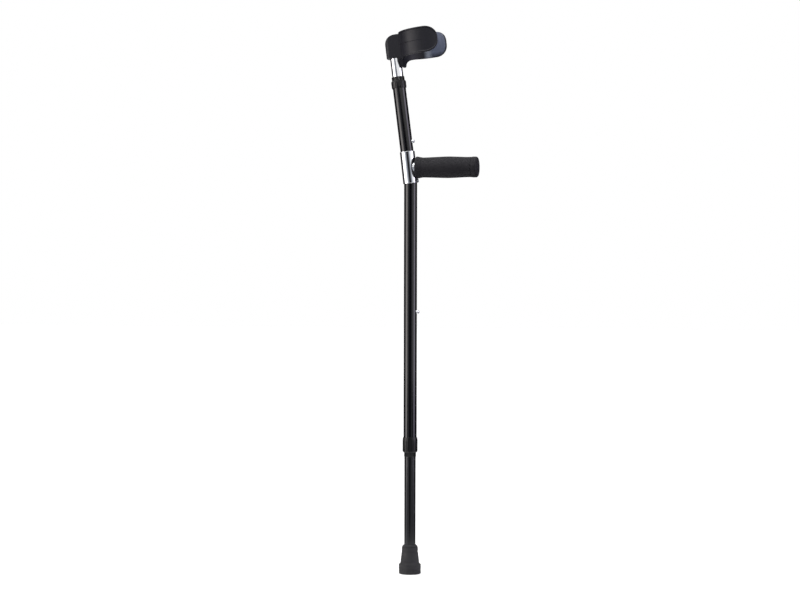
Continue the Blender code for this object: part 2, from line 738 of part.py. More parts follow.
def grip_end_cap():
    """The grip's rounded end, with a plug that fits the stub's bore."""
    radius = CAP_RADIUS
    corner = 0.0030
    top = CAP_THICKNESS
    plug = STUB_BORE - GAP
    depth = CAP_PLUG
    profile = [(0.0, top), (radius * 0.5, top - 0.0001)]
    profile += arc((radius - corner, top - corner - 0.0002), corner, 80, 0, 5)
    profile += [
        (radius + 0.0001, 0.0016),
        (radius - 0.0006, 0.0),
        (plug, 0.0),
        (plug, -depth + 0.0010),
        (plug - 0.0008, -depth),
        (0.0, -depth),
    ]
    cap = turned("grip_end_cap", profile)
    finish(place(cap, SHAFT, (GRIP_END + GAP, 0, GRIP_HEIGHT), ALONG_X), GRIP_PLASTIC)


# Forearm tube, cuff and fastenings.


def screw_heights():
    """The lower and the upper screw, up the forearm tube."""
    upper = FOREARM_TUBE_TOP - SCREW_BELOW_TUBE_TOP
    return [upper - SCREW_PITCH, upper]


def forearm_tube():
    tube = place(inner_tube("forearm_tube", FOREARM_TUBE_LENGTH), UPPER, (0, 0, FOREARM_TUBE_BOTTOM))
    button = wall_holes("forearm_tube_hole", UPPER, [FOREARM_BUTTON_HEIGHT], BUTTON_HOLE_RADIUS, INNER_RADIUS)
    combine(tube, button)
    combine(tube, wall_holes("forearm_screw_holes", UPPER, screw_heights(), SCREW_RADIUS + GAP, INNER_RADIUS))
    finish(tube, CHROME)


def forearm_tube_plug():
    """A solid plug in the tube's top end, cross-drilled for the cuff's screws."""
    body = INNER_BORE - GAP
    flange = INNER_RADIUS
    top = GAP + PLUG_FLANGE
    profile = [
        (0.0, top),
        (flange - 0.0003, top),
        (flange, top - 0.0003),
        (flange, GAP),
        (body, GAP),
        (body, -PLUG_LENGTH + 0.0008),
        (body - 0.0008, -PLUG_LENGTH),
        (0.0, -PLUG_LENGTH),
    ]
    plug = place(turned("forearm_tube_plug", profile), UPPER, (0, 0, FOREARM_TUBE_TOP))
    turn = Matrix.Rotation(math.pi / 2, 4, "Y")
    pins = []
    for height in screw_heights():
        pins.append((Matrix.Translation((-0.0045, 0, height)) @ turn, SCREW_RADIUS + GAP, 0.020))
    finish(combine(plug, place(cylinders("plug_screw_holes", pins), UPPER)), GUIDE_PLASTIC)


def cuff_outline():
    """Half of the flat band, from its lower middle to its upper middle: the tongue, the flare and the end."""
    end = (CUFF_RADIUS + CUFF_WALL / 2) * CUFF_HALF_ANGLE
    low = CUFF_BOTTOM
    high = CUFF_BOTTOM + CUFF_HEIGHT
    tip = TONGUE_TIP
    corner = 0.0045
    corner_up = min(CUFF_CORNER_UP, CUFF_HEIGHT / 2 - GAP)
    squash = corner_up / CUFF_CORNER_ALONG
    half = arc((TONGUE_HALF_WIDTH - corner, tip + corner), corner, -90, -10, 4)
    leave = half[-1]
    turn = (TONGUE_HALF_WIDTH + 0.0060, low - 0.0010)
    arrive = (TONGUE_FLARE, low)
    for i in range(1, 9):
        f = i / 8
        weights = ((1 - f) ** 2, 2 * f * (1 - f), f**2)
        points = zip(leave, turn, arrive)
        half.append(tuple(sum(w * value for w, value in zip(weights, axis)) for axis in points))
    half += arc((end - CUFF_CORNER_ALONG, low + corner_up), CUFF_CORNER_ALONG, -90, 0, 9, squash)
    half += arc((end - CUFF_CORNER_ALONG, high - corner_up), CUFF_CORNER_ALONG, 0, 90, 9, squash)
    return half


def cuff_band():
    """The band with its raised rim, shaped flat by steps of inset and then bent round the forearm."""
    half = cuff_outline()
    outline = half + [(-along, up) for along, up in reversed(half)]
    bm = bmesh.new()
    verts = [bm.verts.new((along, up, 0.0004)) for along, up in outline]
    edges = [bm.edges.new((verts[i - 1], verts[i])) for i in range(len(verts))]
    sheet = bmesh.ops.contextual_create(bm, geom=edges)["faces"]
    bmesh.ops.recalc_face_normals(bm, faces=sheet)
    if sheet[0].normal.z > 0:
        bmesh.ops.reverse_faces(bm, faces=sheet)
    grown = bmesh.ops.extrude_face_region(bm, geom=sheet, use_keep_orig=True)["geom"]
    top = [item for item in grown if isinstance(item, bmesh.types.BMFace)]
    raise_by = CUFF_WALL + RIM_PROUD - 0.0005 - 0.0004
    lifted = [item for item in grown if isinstance(item, bmesh.types.BMVert)]
    bmesh.ops.translate(bm, verts=lifted, vec=(0, 0, raise_by))
    bmesh.ops.recalc_face_normals(bm, faces=bm.faces)
    bm.normal_update()
    bmesh.ops.inset_region(bm, faces=sheet, thickness=0.0004, depth=0.0004, use_even_offset=True)
    for width, rise in ((0.0005, 0.0005), (RIM_WIDTH - 0.0011, 0.0), (0.0006, -RIM_PROUD)):
        bm.normal_update()
        bmesh.ops.inset_region(bm, faces=top, thickness=width, depth=rise, use_even_offset=True)
    reach = CUFF_RADIUS + CUFF_WALL / 2
    columns = 46
    for i in range(1, columns):
        along = reach * CUFF_HALF_ANGLE * (2 * i / columns - 1)
        geometry = bm.verts[:] + bm.edges[:] + bm.faces[:]
        bmesh.ops.bisect_plane(bm, geom=geometry, dist=0.00005, plane_co=(along, 0, 0), plane_no=(1, 0, 0))
    for vert in bm.verts:
        along, up, out = vert.co
        angle = along / reach
        radius = CUFF_RADIUS + out
        vert.co = (CUFF_CENTRE - radius * math.cos(angle), radius * math.sin(angle), up)
    bmesh.ops.recalc_face_normals(bm, faces=bm.faces)
    mesh = bpy.data.meshes.new("cuff")
    bm.to_mesh(mesh)
    bm.free()
    return place(link("cuff", mesh, False), UPPER)


def cuff_housing():
    """The block round the tube's end: the overlap of its plan, side and front outlines."""
    low = CUFF_BOTTOM + HOUSING_BOTTOM_RISE
    tip = TONGUE_TIP + 0.0010
    top = HOUSING_TOP
    front = CUFF_FACE + CUFF_WALL
    back = -SOCKET_RADIUS - HOUSING_BACK_WALL
    wide = SOCKET_RADIUS + HOUSING_SIDE_WALL
    narrow = TONGUE_HALF_WIDTH - 0.0022
    plan = rounded(
        [
            (back, -wide, HOUSING_SIDE_CORNER),
            (front, -wide, 0),
            (front, wide, 0),
            (back, wide, HOUSING_SIDE_CORNER),
        ]
    )
    side = rounded(
        [
            (back, low, 0.0006),
            (INNER_RADIUS - 0.0030, low, 0),
            (INNER_RADIUS - 0.0012, tip, 0),
            (front, tip, 0),
            (front, top, 0),
            (back, top, HOUSING_TOP_CORNER),
        ],
        7,
    )
    face = [
        (-wide - 0.001, top + 0.001),
        (-wide - 0.001, low),
        (-narrow, tip - 0.001),
        (narrow, tip - 0.001),
        (wide + 0.001, low),
        (wide + 0.001, top + 0.001),
    ]
    block = place(prism("cuff_housing", plan, tip - 0.002, top + 0.002, PLAN), UPPER)
    across = prism("housing_side", side, -wide - 0.002, wide + 0.002, SIDE)
    combine(block, place(across, UPPER), "INTERSECT")
    along = prism("housing_front", face, back - 0.002, front + 0.002, FRONT)
    combine(block, place(along, UPPER), "INTERSECT")
    middle = CUFF_RADIUS + CUFF_WALL / 2
    above = top + 0.004
    below = tip - 0.004
    arm = turned("cuff_arm_space", [(0.0, above), (middle, above), (middle, below), (0.0, below)], 96, True)
    combine(block, place(arm, UPPER, (CUFF_CENTRE, 0, 0)))
    return block


def cuff():
    """Band and housing as one moulding, bored for the tube and countersunk for the two screws."""
    band = combine(cuff_band(), cuff_housing(), "UNION")
    end = HOUSING_TOP - HOUSING_ROOF
    low = TONGUE_TIP - 0.004
    bore = [(0.0, end), (SOCKET_RADIUS, end), (SOCKET_RADIUS, low), (0.0, low)]
    socket = turned("cuff_socket", bore, ROUND, True)
    combine(band, place(socket, UPPER))
    hole = SCREW_RADIUS + GAP
    head = SCREW_HEAD_RADIUS + GAP
    for name, height in zip(("lower", "upper"), screw_heights()):
        sink = turned(
            "countersink_" + name,
            [
                (0.0, CUFF_FACE + 0.001),
                (head, CUFF_FACE + 0.001),
                (head, CUFF_FACE - 0.0008),
                (hole, CUFF_FACE - 0.0028),
                (hole, 0.0),
                (0.0, 0.0),
            ],
            SMALL_ROUND,
            True,
        )
        combine(band, place(sink, UPPER, (0, 0, height), ALONG_X))
    finish(band, CUFF_PLASTIC)


def cuff_screws():
    """Countersunk screws from inside the cuff, through the tube's wall and into its plug."""
    for name, height in zip(("cuff_screw_lower", "cuff_screw_upper"), screw_heights()):
        profile = [
            (0.0, CUFF_FACE - 0.0003),
            (SCREW_HEAD_RADIUS, CUFF_FACE - 0.0003),
            (SCREW_HEAD_RADIUS, CUFF_FACE - 0.0006),
            (SCREW_RADIUS, CUFF_FACE - 0.0025),
            (SCREW_RADIUS, -0.0030),
            (SCREW_RADIUS - 0.0008, -0.0038),
            (0.0, -0.0038),
        ]
        screw = turned(name, profile, SMALL_ROUND)
        finish(place(screw, UPPER, (0, 0, height), ALONG_X), STEEL)


def build():
    main_tube()
    ferrule()
    ferrule_washer()
    leg_tube()
    glide("leg_glide", SHAFT, LEG_TUBE_TOP, 1)
    snap_button("leg_snap_button", SHAFT, LEG_BUTTON_HEIGHT)
    button_spring("leg_button_spring", SHAFT, LEG_BUTTON_HEIGHT, -1)
    leg_neck = (LEG_COLLET_NECK, LEG_COLLET_WALL, COLLET_SLOT_WIDTH)
    lock_pair("leg", SHAFT, MAIN_BOTTOM, 1, *leg_neck, LEG_NUT_HEIGHT, 0.0050)
    handle_bracket()
    bracket_rivet()
    grip()
    grip_end_cap()
    forearm_tube()
    glide("forearm_glide", UPPER, FOREARM_TUBE_BOTTOM, -1)
    forearm_tube_plug()
    snap_button("forearm_snap_button", UPPER, FOREARM_BUTTON_HEIGHT)
    button_spring("forearm_button_spring", UPPER, FOREARM_BUTTON_HEIGHT, 1)
    forearm_neck = (FOREARM_COLLET_NECK, FOREARM_COLLET_WALL, FINGER_SLOT_WIDTH)
    lock_pair("forearm", UPPER, MAIN_UPPER_RUN, -1, *forearm_neck, FOREARM_NUT_HEIGHT, 0.0029)
    cuff()
    cuff_screws()


build()
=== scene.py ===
"""A forearm crutch: bent main tube, telescoping leg and forearm tube, side hand grip and open cuff.

Metres. The main tube's lower run stands on the Z axis and the grip points along +X. Pieces of the leaning
upper run are made upright on the Z axis and then laid on it by UP, and pieces of the grip are laid along +X
by GRIP.
"""

import math

import bmesh
import bpy
from bmesh.types import BMEdge, BMFace, BMVert
from mathutils import Matrix, Vector


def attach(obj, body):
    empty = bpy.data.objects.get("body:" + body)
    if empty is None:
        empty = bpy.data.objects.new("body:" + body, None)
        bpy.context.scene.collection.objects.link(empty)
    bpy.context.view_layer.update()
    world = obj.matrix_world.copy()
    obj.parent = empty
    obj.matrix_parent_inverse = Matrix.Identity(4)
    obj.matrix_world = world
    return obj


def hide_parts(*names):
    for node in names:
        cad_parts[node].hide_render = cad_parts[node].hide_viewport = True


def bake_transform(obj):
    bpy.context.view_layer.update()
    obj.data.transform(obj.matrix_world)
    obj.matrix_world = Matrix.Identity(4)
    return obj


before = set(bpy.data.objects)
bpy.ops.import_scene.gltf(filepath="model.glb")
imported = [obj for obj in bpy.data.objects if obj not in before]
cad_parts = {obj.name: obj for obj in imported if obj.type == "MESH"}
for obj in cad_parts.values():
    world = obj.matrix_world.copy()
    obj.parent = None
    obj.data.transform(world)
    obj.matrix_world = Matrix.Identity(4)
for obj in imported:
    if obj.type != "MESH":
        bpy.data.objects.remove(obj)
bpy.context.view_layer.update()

# Sizes in metres. Heights are from the floor, or up the leaning run from the bend.
MAIN_RADIUS = 0.0111
MAIN_BORE = 0.0099
MAIN_LOW = 0.2130
UPPER_RUN = 0.1650
BEND_HEIGHT = 0.665
BEND_RADIUS = 0.060
LEAN = math.radians(7.27)
BEND_CUT = BEND_RADIUS * math.tan(LEAN / 2)
TUBE_RADIUS = 0.009525
TUBE_BORE = 0.008325
TUBE_EDGE = 0.00022
LEG_TUBE_LOW = 0.0151
LEG_TUBE_LENGTH = 0.4586
ARM_TUBE_LOW = 0.0370
ARM_TUBE_TOP = 0.2407
HOLE_RADIUS = 0.003475
HOLE_PITCH = 0.0254
LEG_BUTTON = 0.4437
ARM_BUTTON = 0.0670
NUT_REACH = 0.0072
RIVET_HEIGHT = 0.0034
CUFF_LOW = 0.2080
CUFF_HIGH = 0.2515
CUFF_RADIUS = 0.0420
CUFF_CENTRE = 0.056325
CUFF_WRAP = math.radians(127)
BAND_MIDDLE = CUFF_RADIUS + 0.0015
SOCKET_RADIUS = 0.009825
SCREW_FACE = 0.014325
SCREW_HOLE = 0.00205
LOW_SCREW = ARM_TUBE_TOP - 0.0210
HIGH_SCREW = ARM_TUBE_TOP - 0.0060
RING_GAP = 0.0012
MERGE = 0.000002

LOWER = Matrix.Identity(4)
UP = Matrix.Translation((0, 0, BEND_HEIGHT)) @ Matrix.Rotation(-LEAN, 4, "Y")
SLEEVE = Matrix.Translation((0.00005, 0, 0.6613)) @ Matrix.Rotation(-math.radians(6.5), 4, "Y")
ALONG_X = Matrix.Rotation(math.pi / 2, 4, "Y")
GRIP = Matrix.Translation((0, 0, 0.6881)) @ ALONG_X


# Materials.


def linear(colour):
    """The linear RGBA of an sRGB hex colour."""
    values = [int(colour[i : i + 2], 16) / 255 for i in (0, 2, 4)]
    return [v / 12.92 if v <= 0.04045 else ((v + 0.055) / 1.055) ** 2.4 for v in values] + [1.0]


def add(tree, kind, inputs=None, **settings):
    """Adds a node. Its inputs, by name or number, are plain values or the sockets that feed them."""
    node = tree.nodes.new(kind)
    for name, value in settings.items():
        setattr(node, name, value)
    for name, value in (inputs or {}).items():
        if isinstance(value, bpy.types.NodeSocket):
            tree.links.new(value, node.inputs[name])
        else:
            node.inputs[name].default_value = value
    return node


def material(name):
    """A new material and its empty node tree."""
    made = bpy.data.materials.new(name)
    made.use_nodes = True
    made.node_tree.nodes.clear()
    return made, made.node_tree


def gloss_lacquer():
    """Black lacquer on drawn aluminium tube: a deep gloss with orange peel, ripples about 2 mm across that
    make the long highlights waver, and patches about 14 mm across where it is a little duller."""
    made, tree = material("black_lacquer")
    place = add(tree, "ShaderNodeTexCoord").outputs["Object"]
    along = add(tree, "ShaderNodeMapping", {"Vector": place, "Scale": (1, 1, 0.5)})
    peel = add(tree, "ShaderNodeTexNoise", {"Vector": along.outputs[0], "Scale": 420, "Detail": 1.0})
    cloud = add(tree, "ShaderNodeTexNoise", {"Vector": place, "Scale": 70, "Detail": 5.0})
    colour = {0: cloud.outputs["Fac"], 6: linear("040307"), 7: linear("08070B")}
    colour = add(tree, "ShaderNodeMix", colour, data_type="RGBA")
    rough = add(tree, "ShaderNodeMapRange", {"Value": cloud.outputs["Fac"], "To Min": 0.06, "To Max": 0.13})
    ripple = add(tree, "ShaderNodeBump", {"Height": peel.outputs["Fac"], "Distance": 0.00002})
    shader = {
        "Base Color": colour.outputs[2],
        "Roughness": rough.outputs[0],
        "Normal": ripple.outputs[0],
        "IOR": 1.5,
    }
    shader = add(tree, "ShaderNodeBsdfPrincipled", shader)
    add(tree, "ShaderNodeOutputMaterial", {"Surface": shader.outputs[0]})
    return made


def satin_anodising():
    """Black anodised drawn aluminium: fine lines along the tube, about 0.4 mm apart, that stretch the
    highlight, and a satin oxide skin that never goes fully black."""
    made, tree = material("black_anodised_aluminium")
    place = add(tree, "ShaderNodeTexCoord").outputs["Object"]
    along = add(tree, "ShaderNodeMapping", {"Vector": place, "Scale": (1, 1, 0.01)})
    lines = add(tree, "ShaderNodeTexNoise", {"Vector": along.outputs[0], "Scale": 2400, "Detail": 3.0})
    cloud = add(tree, "ShaderNodeTexNoise", {"Vector": place, "Scale": 50, "Detail": 4.0})
    colour = {0: cloud.outputs["Fac"], 6: linear("070709"), 7: linear("0B0B0E")}
    colour = add(tree, "ShaderNodeMix", colour, data_type="RGBA")
    rough = add(tree, "ShaderNodeMapRange", {"Value": lines.outputs["Fac"], "To Min": 0.15, "To Max": 0.25})
    drawn = add(tree, "ShaderNodeBump", {"Height": lines.outputs["Fac"], "Distance": 0.000006})
    shader = {
        "Base Color": colour.outputs[2],
        "Roughness": rough.outputs[0],
        "Normal": drawn.outputs[0],
        "IOR": 1.6,
    }
    shader = add(tree, "ShaderNodeBsdfPrincipled", shader)
    add(tree, "ShaderNodeOutputMaterial", {"Surface": shader.outputs[0]})
    return made


def chrome_plate():
    """Chrome plate on polished metal: a near mirror, very slightly cool, with wiping hairlines about 0.3 mm
    apart that only show as a faint softening."""
    made, tree = material("chrome_plate")
    place = add(tree, "ShaderNodeTexCoord").outputs["Object"]
    along = add(tree, "ShaderNodeMapping", {"Vector": place, "Scale": (1, 1, 0.04)})
    hair = add(tree, "ShaderNodeTexNoise", {"Vector": along.outputs[0], "Scale": 3000, "Detail": 3.0})
    cloud = add(tree, "ShaderNodeTexNoise", {"Vector": place, "Scale": 120, "Detail": 2.0})
    colour = {0: cloud.outputs["Fac"], 6: linear("E0E2E6"), 7: linear("EBECEE")}
    colour = add(tree, "ShaderNodeMix", colour, data_type="RGBA")
    rough = add(tree, "ShaderNodeMapRange", {"Value": hair.outputs["Fac"], "To Min": 0.02, "To Max": 0.06})
    shader = {"Base Color": colour.outputs[2], "Roughness": rough.outputs[0], "Metallic": 1.0}
    shader = add(tree, "ShaderNodeBsdfPrincipled", shader)
    add(tree, "ShaderNodeOutputMaterial", {"Surface": shader.outputs[0]})
    return made


def zinc_plate():
    """Bright zinc on pressed steel: a soft grey sheen, clouded in patches about 2 mm across."""
    made, tree = material("zinc_plated_steel")
    place = add(tree, "ShaderNodeTexCoord").outputs["Object"]
    cloud = add(tree, "ShaderNodeTexNoise", {"Vector": place, "Scale": 500, "Detail": 4.0})
    colour = {0: cloud.outputs["Fac"], 6: linear("97999D"), 7: linear("BDBFC2")}
    colour = add(tree, "ShaderNodeMix", colour, data_type="RGBA")
    rough = add(tree, "ShaderNodeMapRange", {"Value": cloud.outputs["Fac"], "To Min": 0.22, "To Max": 0.48})
    shader = {"Base Color": colour.outputs[2], "Roughness": rough.outputs[0], "Metallic": 1.0}
    shader = add(tree, "ShaderNodeBsdfPrincipled", shader)
    add(tree, "ShaderNodeOutputMaterial", {"Surface": shader.outputs[0]})
    return made


def moulded_polypropylene():
    """Moulded polypropylene: a spark-eroded grain about 0.7 mm across under a soft, slightly uneven sheen.
    Inside the cuff's arms its colour carries painted light: a paler, bluer painted reflection, with a painted
    highlight where it begins and painted shade towards the lower edge."""
    made, tree = material("moulded_polypropylene")
    place = add(tree, "ShaderNodeTexCoord").outputs["Object"]
    pits = add(tree, "ShaderNodeTexVoronoi", {"Vector": place, "Scale": 1400})
    cloud = add(tree, "ShaderNodeTexNoise", {"Vector": place, "Scale": 55, "Detail": 5.0})
    shell = {0: cloud.outputs["Fac"], 6: linear("0C0C15"), 7: linear("11111C")}
    shell = add(tree, "ShaderNodeMix", shell, data_type="RGBA")
    axis = (-BEND_HEIGHT * math.sin(LEAN) - CUFF_CENTRE, 0, -BEND_HEIGHT * math.cos(LEAN))
    upright = {"Vector": place, "Location": axis, "Rotation": (0, LEAN, 0)}
    upright = add(tree, "ShaderNodeMapping", upright)
    flat = {0: upright.outputs[0], 1: (1, 1, 0)}
    flat = add(tree, "ShaderNodeVectorMath", flat, operation="MULTIPLY")
    reach = add(tree, "ShaderNodeVectorMath", {0: flat.outputs[0]}, operation="LENGTH")
    inside = {
        "Value": reach.outputs["Value"],
        "From Min": CUFF_RADIUS + 0.0004,
        "From Max": CUFF_RADIUS + 0.0001,
    }
    inside = add(tree, "ShaderNodeMapRange", inside)
    spot = add(tree, "ShaderNodeSeparateXYZ", {0: upright.outputs[0]})
    # Painted light on the inner face of the arms: a paler, bluer painted reflection that grows in from the
    # back of the band.
    arms = {"Value": spot.outputs["X"], "From Min": -0.0155, "From Max": -0.0085}
    arms = add(tree, "ShaderNodeMapRange", arms)
    # A painted highlight where the painted reflection begins, fading out towards the arms' ends.
    painted_highlight = {"Value": spot.outputs["X"], "From Min": -0.0005, "From Max": -0.0075}
    painted_highlight = add(tree, "ShaderNodeMapRange", painted_highlight)
    # Painted shade: the painted reflection darkens to 22252F towards the cuff's lower edge.
    rise = {"Value": spot.outputs["Z"], "From Min": CUFF_LOW, "From Max": CUFF_LOW + 0.009}
    rise = add(tree, "ShaderNodeMapRange", rise)
    bloom_and_painted_light = {0: rise.outputs[0], 6: linear("22252F"), 7: linear("676F85")}
    bloom_and_painted_light = add(tree, "ShaderNodeMix", bloom_and_painted_light, data_type="RGBA")
    bloom_and_painted_light = {0: painted_highlight.outputs[0], 6: bloom_and_painted_light.outputs[2], 7: linear("8D94A0")}
    bloom_and_painted_light = add(tree, "ShaderNodeMix", bloom_and_painted_light, data_type="RGBA")
    # Where the painted light shows: on the inner face, across the arms.
    painted_light_mask = {0: inside.outputs[0], 1: arms.outputs[0]}
    painted_light_mask = add(tree, "ShaderNodeMath", painted_light_mask, operation="MULTIPLY")
    colour = {0: painted_light_mask.outputs[0], 6: shell.outputs[2], 7: bloom_and_painted_light.outputs[2]}
    colour = add(tree, "ShaderNodeMix", colour, data_type="RGBA")
    rough = add(tree, "ShaderNodeMapRange", {"Value": cloud.outputs["Fac"], "To Min": 0.42, "To Max": 0.56})
    grain = add(tree, "ShaderNodeBump", {"Height": pits.outputs["Distance"], "Distance": 0.00002})
    shader = {
        "Base Color": colour.outputs[2],
        "Roughness": rough.outputs[0],
        "Normal": grain.outputs[0],
        "IOR": 1.49,
        "Specular IOR Level": 0.35,
    }
    shader = add(tree, "ShaderNodeBsdfPrincipled", shader)
    add(tree, "ShaderNodeOutputMaterial", {"Surface": shader.outputs[0]})
    return made


def soft_vinyl():
    """Moulded soft vinyl: matt charcoal whose pebbled skin, drawn coarse at 1.3 mm so that it shows, is
    paler on its crowns where hands polish it."""
    made, tree = material("soft_vinyl")
    place = add(tree, "ShaderNodeTexCoord").outputs["Object"]
    pebble = {"Vector": place, "Scale": 760, "Smoothness": 0.5}
    pebble = add(tree, "ShaderNodeTexVoronoi", pebble, feature="SMOOTH_F1")
    cloud = add(tree, "ShaderNodeTexNoise", {"Vector": place, "Scale": 260, "Detail": 6.0})
    mottle = {0: pebble.outputs["Distance"], 1: cloud.outputs["Fac"]}
    mottle = add(tree, "ShaderNodeMath", mottle, operation="SUBTRACT")
    level = {"Value": mottle.outputs[0], "From Min": -0.4, "From Max": 0.3}
    level = add(tree, "ShaderNodeMapRange", level)
    colour = {0: level.outputs[0], 6: linear("16141B"), 7: linear("111016")}
    colour = add(tree, "ShaderNodeMix", colour, data_type="RGBA")
    rough = add(tree, "ShaderNodeMapRange", {"Value": level.outputs[0], "To Min": 0.55, "To Max": 0.8})
    skin = add(tree, "ShaderNodeBump", {"Height": pebble.outputs["Distance"], "Distance": 0.00008})
    skin.invert = True
    shader = {
        "Base Color": colour.outputs[2],
        "Roughness": rough.outputs[0],
        "Normal": skin.outputs[0],
        "IOR": 1.5,
        "Specular IOR Level": 0.35,
    }
    shader = add(tree, "ShaderNodeBsdfPrincipled", shader)
    add(tree, "ShaderNodeOutputMaterial", {"Surface": shader.outputs[0]})
    return made


def moulded_rubber():
    """Carbon-grey moulded rubber: dull, with pits about 0.5 mm across and a pale bloom in patches."""
    made, tree = material("moulded_rubber")
    place = add(tree, "ShaderNodeTexCoord").outputs["Object"]
    pits = add(tree, "ShaderNodeTexNoise", {"Vector": place, "Scale": 1900, "Detail": 3.0})
    bloom_and_painted_light = add(tree, "ShaderNodeTexNoise", {"Vector": place, "Scale": 90, "Detail": 6.0})
    patch = {"Value": bloom_and_painted_light.outputs["Fac"], "From Min": 0.35, "From Max": 0.7}
    patch = add(tree, "ShaderNodeMapRange", patch)
    colour = {0: patch.outputs[0], 6: linear("1E1E21"), 7: linear("2A2A2D")}
    colour = add(tree, "ShaderNodeMix", colour, data_type="RGBA")
    rough = add(tree, "ShaderNodeMapRange", {"Value": patch.outputs[0], "To Min": 0.58, "To Max": 0.85})
    skin = add(tree, "ShaderNodeBump", {"Height": pits.outputs["Fac"], "Distance": 0.00006})
    shader = {
        "Base Color": colour.outputs[2],
        "Roughness": rough.outputs[0],
        "Normal": skin.outputs[0],
        "IOR": 1.52,
        "Specular IOR Level": 0.4,
    }
    shader = add(tree, "ShaderNodeBsdfPrincipled", shader)
    add(tree, "ShaderNodeOutputMaterial", {"Surface": shader.outputs[0]})
    return made


def filled_nylon():
    """Glass-filled nylon: black with a low sheen and short paler flecks, drawn 0.5 mm wide, where fibres
    reach the skin."""
    made, tree = material("glass_filled_nylon")
    place = add(tree, "ShaderNodeTexCoord").outputs["Object"]
    along = add(tree, "ShaderNodeMapping", {"Vector": place, "Scale": (1, 1, 0.4)})
    fibre = add(tree, "ShaderNodeTexNoise", {"Vector": along.outputs[0], "Scale": 2000, "Detail": 2.0})
    fleck = {"Value": fibre.outputs["Fac"], "From Min": 0.5, "From Max": 0.75}
    fleck = add(tree, "ShaderNodeMapRange", fleck)
    colour = {0: fleck.outputs[0], 6: linear("050507"), 7: linear("0C0C0F")}
    colour = add(tree, "ShaderNodeMix", colour, data_type="RGBA")
    rough = add(tree, "ShaderNodeMapRange", {"Value": fibre.outputs["Fac"], "To Min": 0.24, "To Max": 0.36})
    skin = add(tree, "ShaderNodeBump", {"Height": fibre.outputs["Fac"], "Distance": 0.00003})
    shader = {
        "Base Color": colour.outputs[2],
        "Roughness": rough.outputs[0],
        "Normal": skin.outputs[0],
        "IOR": 1.53,
        "Specular IOR Level": 0.28,
    }
    shader = add(tree, "ShaderNodeBsdfPrincipled", shader)
    add(tree, "ShaderNodeOutputMaterial", {"Surface": shader.outputs[0]})
    return made


def natural_nylon():
    """Unpigmented moulded nylon: milky off-white, clouded, and slightly see-through at thin edges."""
    made, tree = material("natural_nylon")
    place = add(tree, "ShaderNodeTexCoord").outputs["Object"]
    cloud = add(tree, "ShaderNodeTexNoise", {"Vector": place, "Scale": 200, "Detail": 4.0})
    colour = {0: cloud.outputs["Fac"], 6: linear("CDCBC0"), 7: linear("DDDCD4")}
    colour = add(tree, "ShaderNodeMix", colour, data_type="RGBA")
    rough = add(tree, "ShaderNodeMapRange", {"Value": cloud.outputs["Fac"], "To Min": 0.38, "To Max": 0.52})
    shader = {
        "Base Color": colour.outputs[2],
        "Roughness": rough.outputs[0],
        "IOR": 1.53,
        "Subsurface Weight": 0.2,
        "Subsurface Scale": 0.002,
    }
    shader = add(tree, "ShaderNodeBsdfPrincipled", shader)
    add(tree, "ShaderNodeOutputMaterial", {"Surface": shader.outputs[0]})
    return made


GLOSS_TUBE = gloss_lacquer()
SATIN_TUBE = satin_anodising()
CHROME = chrome_plate()
ZINC = zinc_plate()
CUFF_PLASTIC = moulded_polypropylene()
GRIP_SKIN = soft_vinyl()
RUBBER = moulded_rubber()
NYLON = filled_nylon()
GLIDE = natural_nylon()


# Mesh helpers.


def from_bmesh(name, bm, place=None):
    """An object from a bmesh, laid in place, with its doubles merged and its faces out."""
    if place is not None:
        bmesh.ops.transform(bm, matrix=place, verts=bm.verts)
    bmesh.ops.remove_doubles(bm, verts=bm.verts, dist=MERGE)
    bmesh.ops.recalc_face_normals(bm, faces=bm.faces)
    mesh = bpy.data.meshes.new(name)
    bm.to_mesh(mesh)
    bm.free()
    made = bpy.data.objects.new(name, mesh)
    bpy.context.scene.collection.objects.link(made)
    return made


def only(geometry, kind):
    """The parts of some geometry that are of one kind."""
    return [part for part in geometry if isinstance(part, kind)]


def whole(bm):
    """All the vertices, edges and faces of a bmesh."""
    return bm.verts[:] + bm.edges[:] + bm.faces[:]


def lathe(profile, steps=96):
    """A profile of (radius, height) points spun about Z. One with both ends off the axis is closed into a
    ring."""
    bm = bmesh.new()
    points = [bm.verts.new((radius, 0, height)) for radius, height in profile]
    edges = [bm.edges.new(pair) for pair in zip(points, points[1:])]
    if profile[0][0] > 0 and profile[-1][0] > 0:
        edges.append(bm.edges.new((points[-1], points[0])))
    bmesh.ops.spin(
        bm,
        geom=points + edges,
        cent=(0, 0, 0),
        axis=(0, 0, 1),
        angle=2 * math.pi,
        steps=steps,
        use_merge=True,
        use_duplicate=False,
    )
    bmesh.ops.remove_doubles(bm, verts=bm.verts, dist=MERGE)
    bmesh.ops.recalc_face_normals(bm, faces=bm.faces)
    return bm


def corner(centre, radius, start, end, steps=5, squash=1.0):
    """Points round an arc of a profile or outline, between two angles in degrees. A squash flattens it."""
    turns = [math.radians(start + (end - start) * i / steps) for i in range(steps + 1)]
    return [(centre[0] + radius * math.cos(a), centre[1] + radius * squash * math.sin(a)) for a in turns]


def smooth(stations, steps):
    """A smooth curve through (x, y) stations, which at each one runs parallel to the line between its
    neighbours."""
    ends = [stations[0], *stations, stations[-1]]
    points = []
    for a, b, c, d in zip(ends, ends[1:], ends[2:], ends[3:]):
        for i in range(steps):
            f = i / steps
            point = []
            for p, q, r, s in zip(a, b, c, d):
                bend = 2 * p - 5 * q + 4 * r - s
                twist = 3 * q - p - 3 * r + s
                point.append((2 * q + (r - p) * f + bend * f**2 + twist * f**3) / 2)
            points.append(tuple(point))
    return points + [stations[-1]]


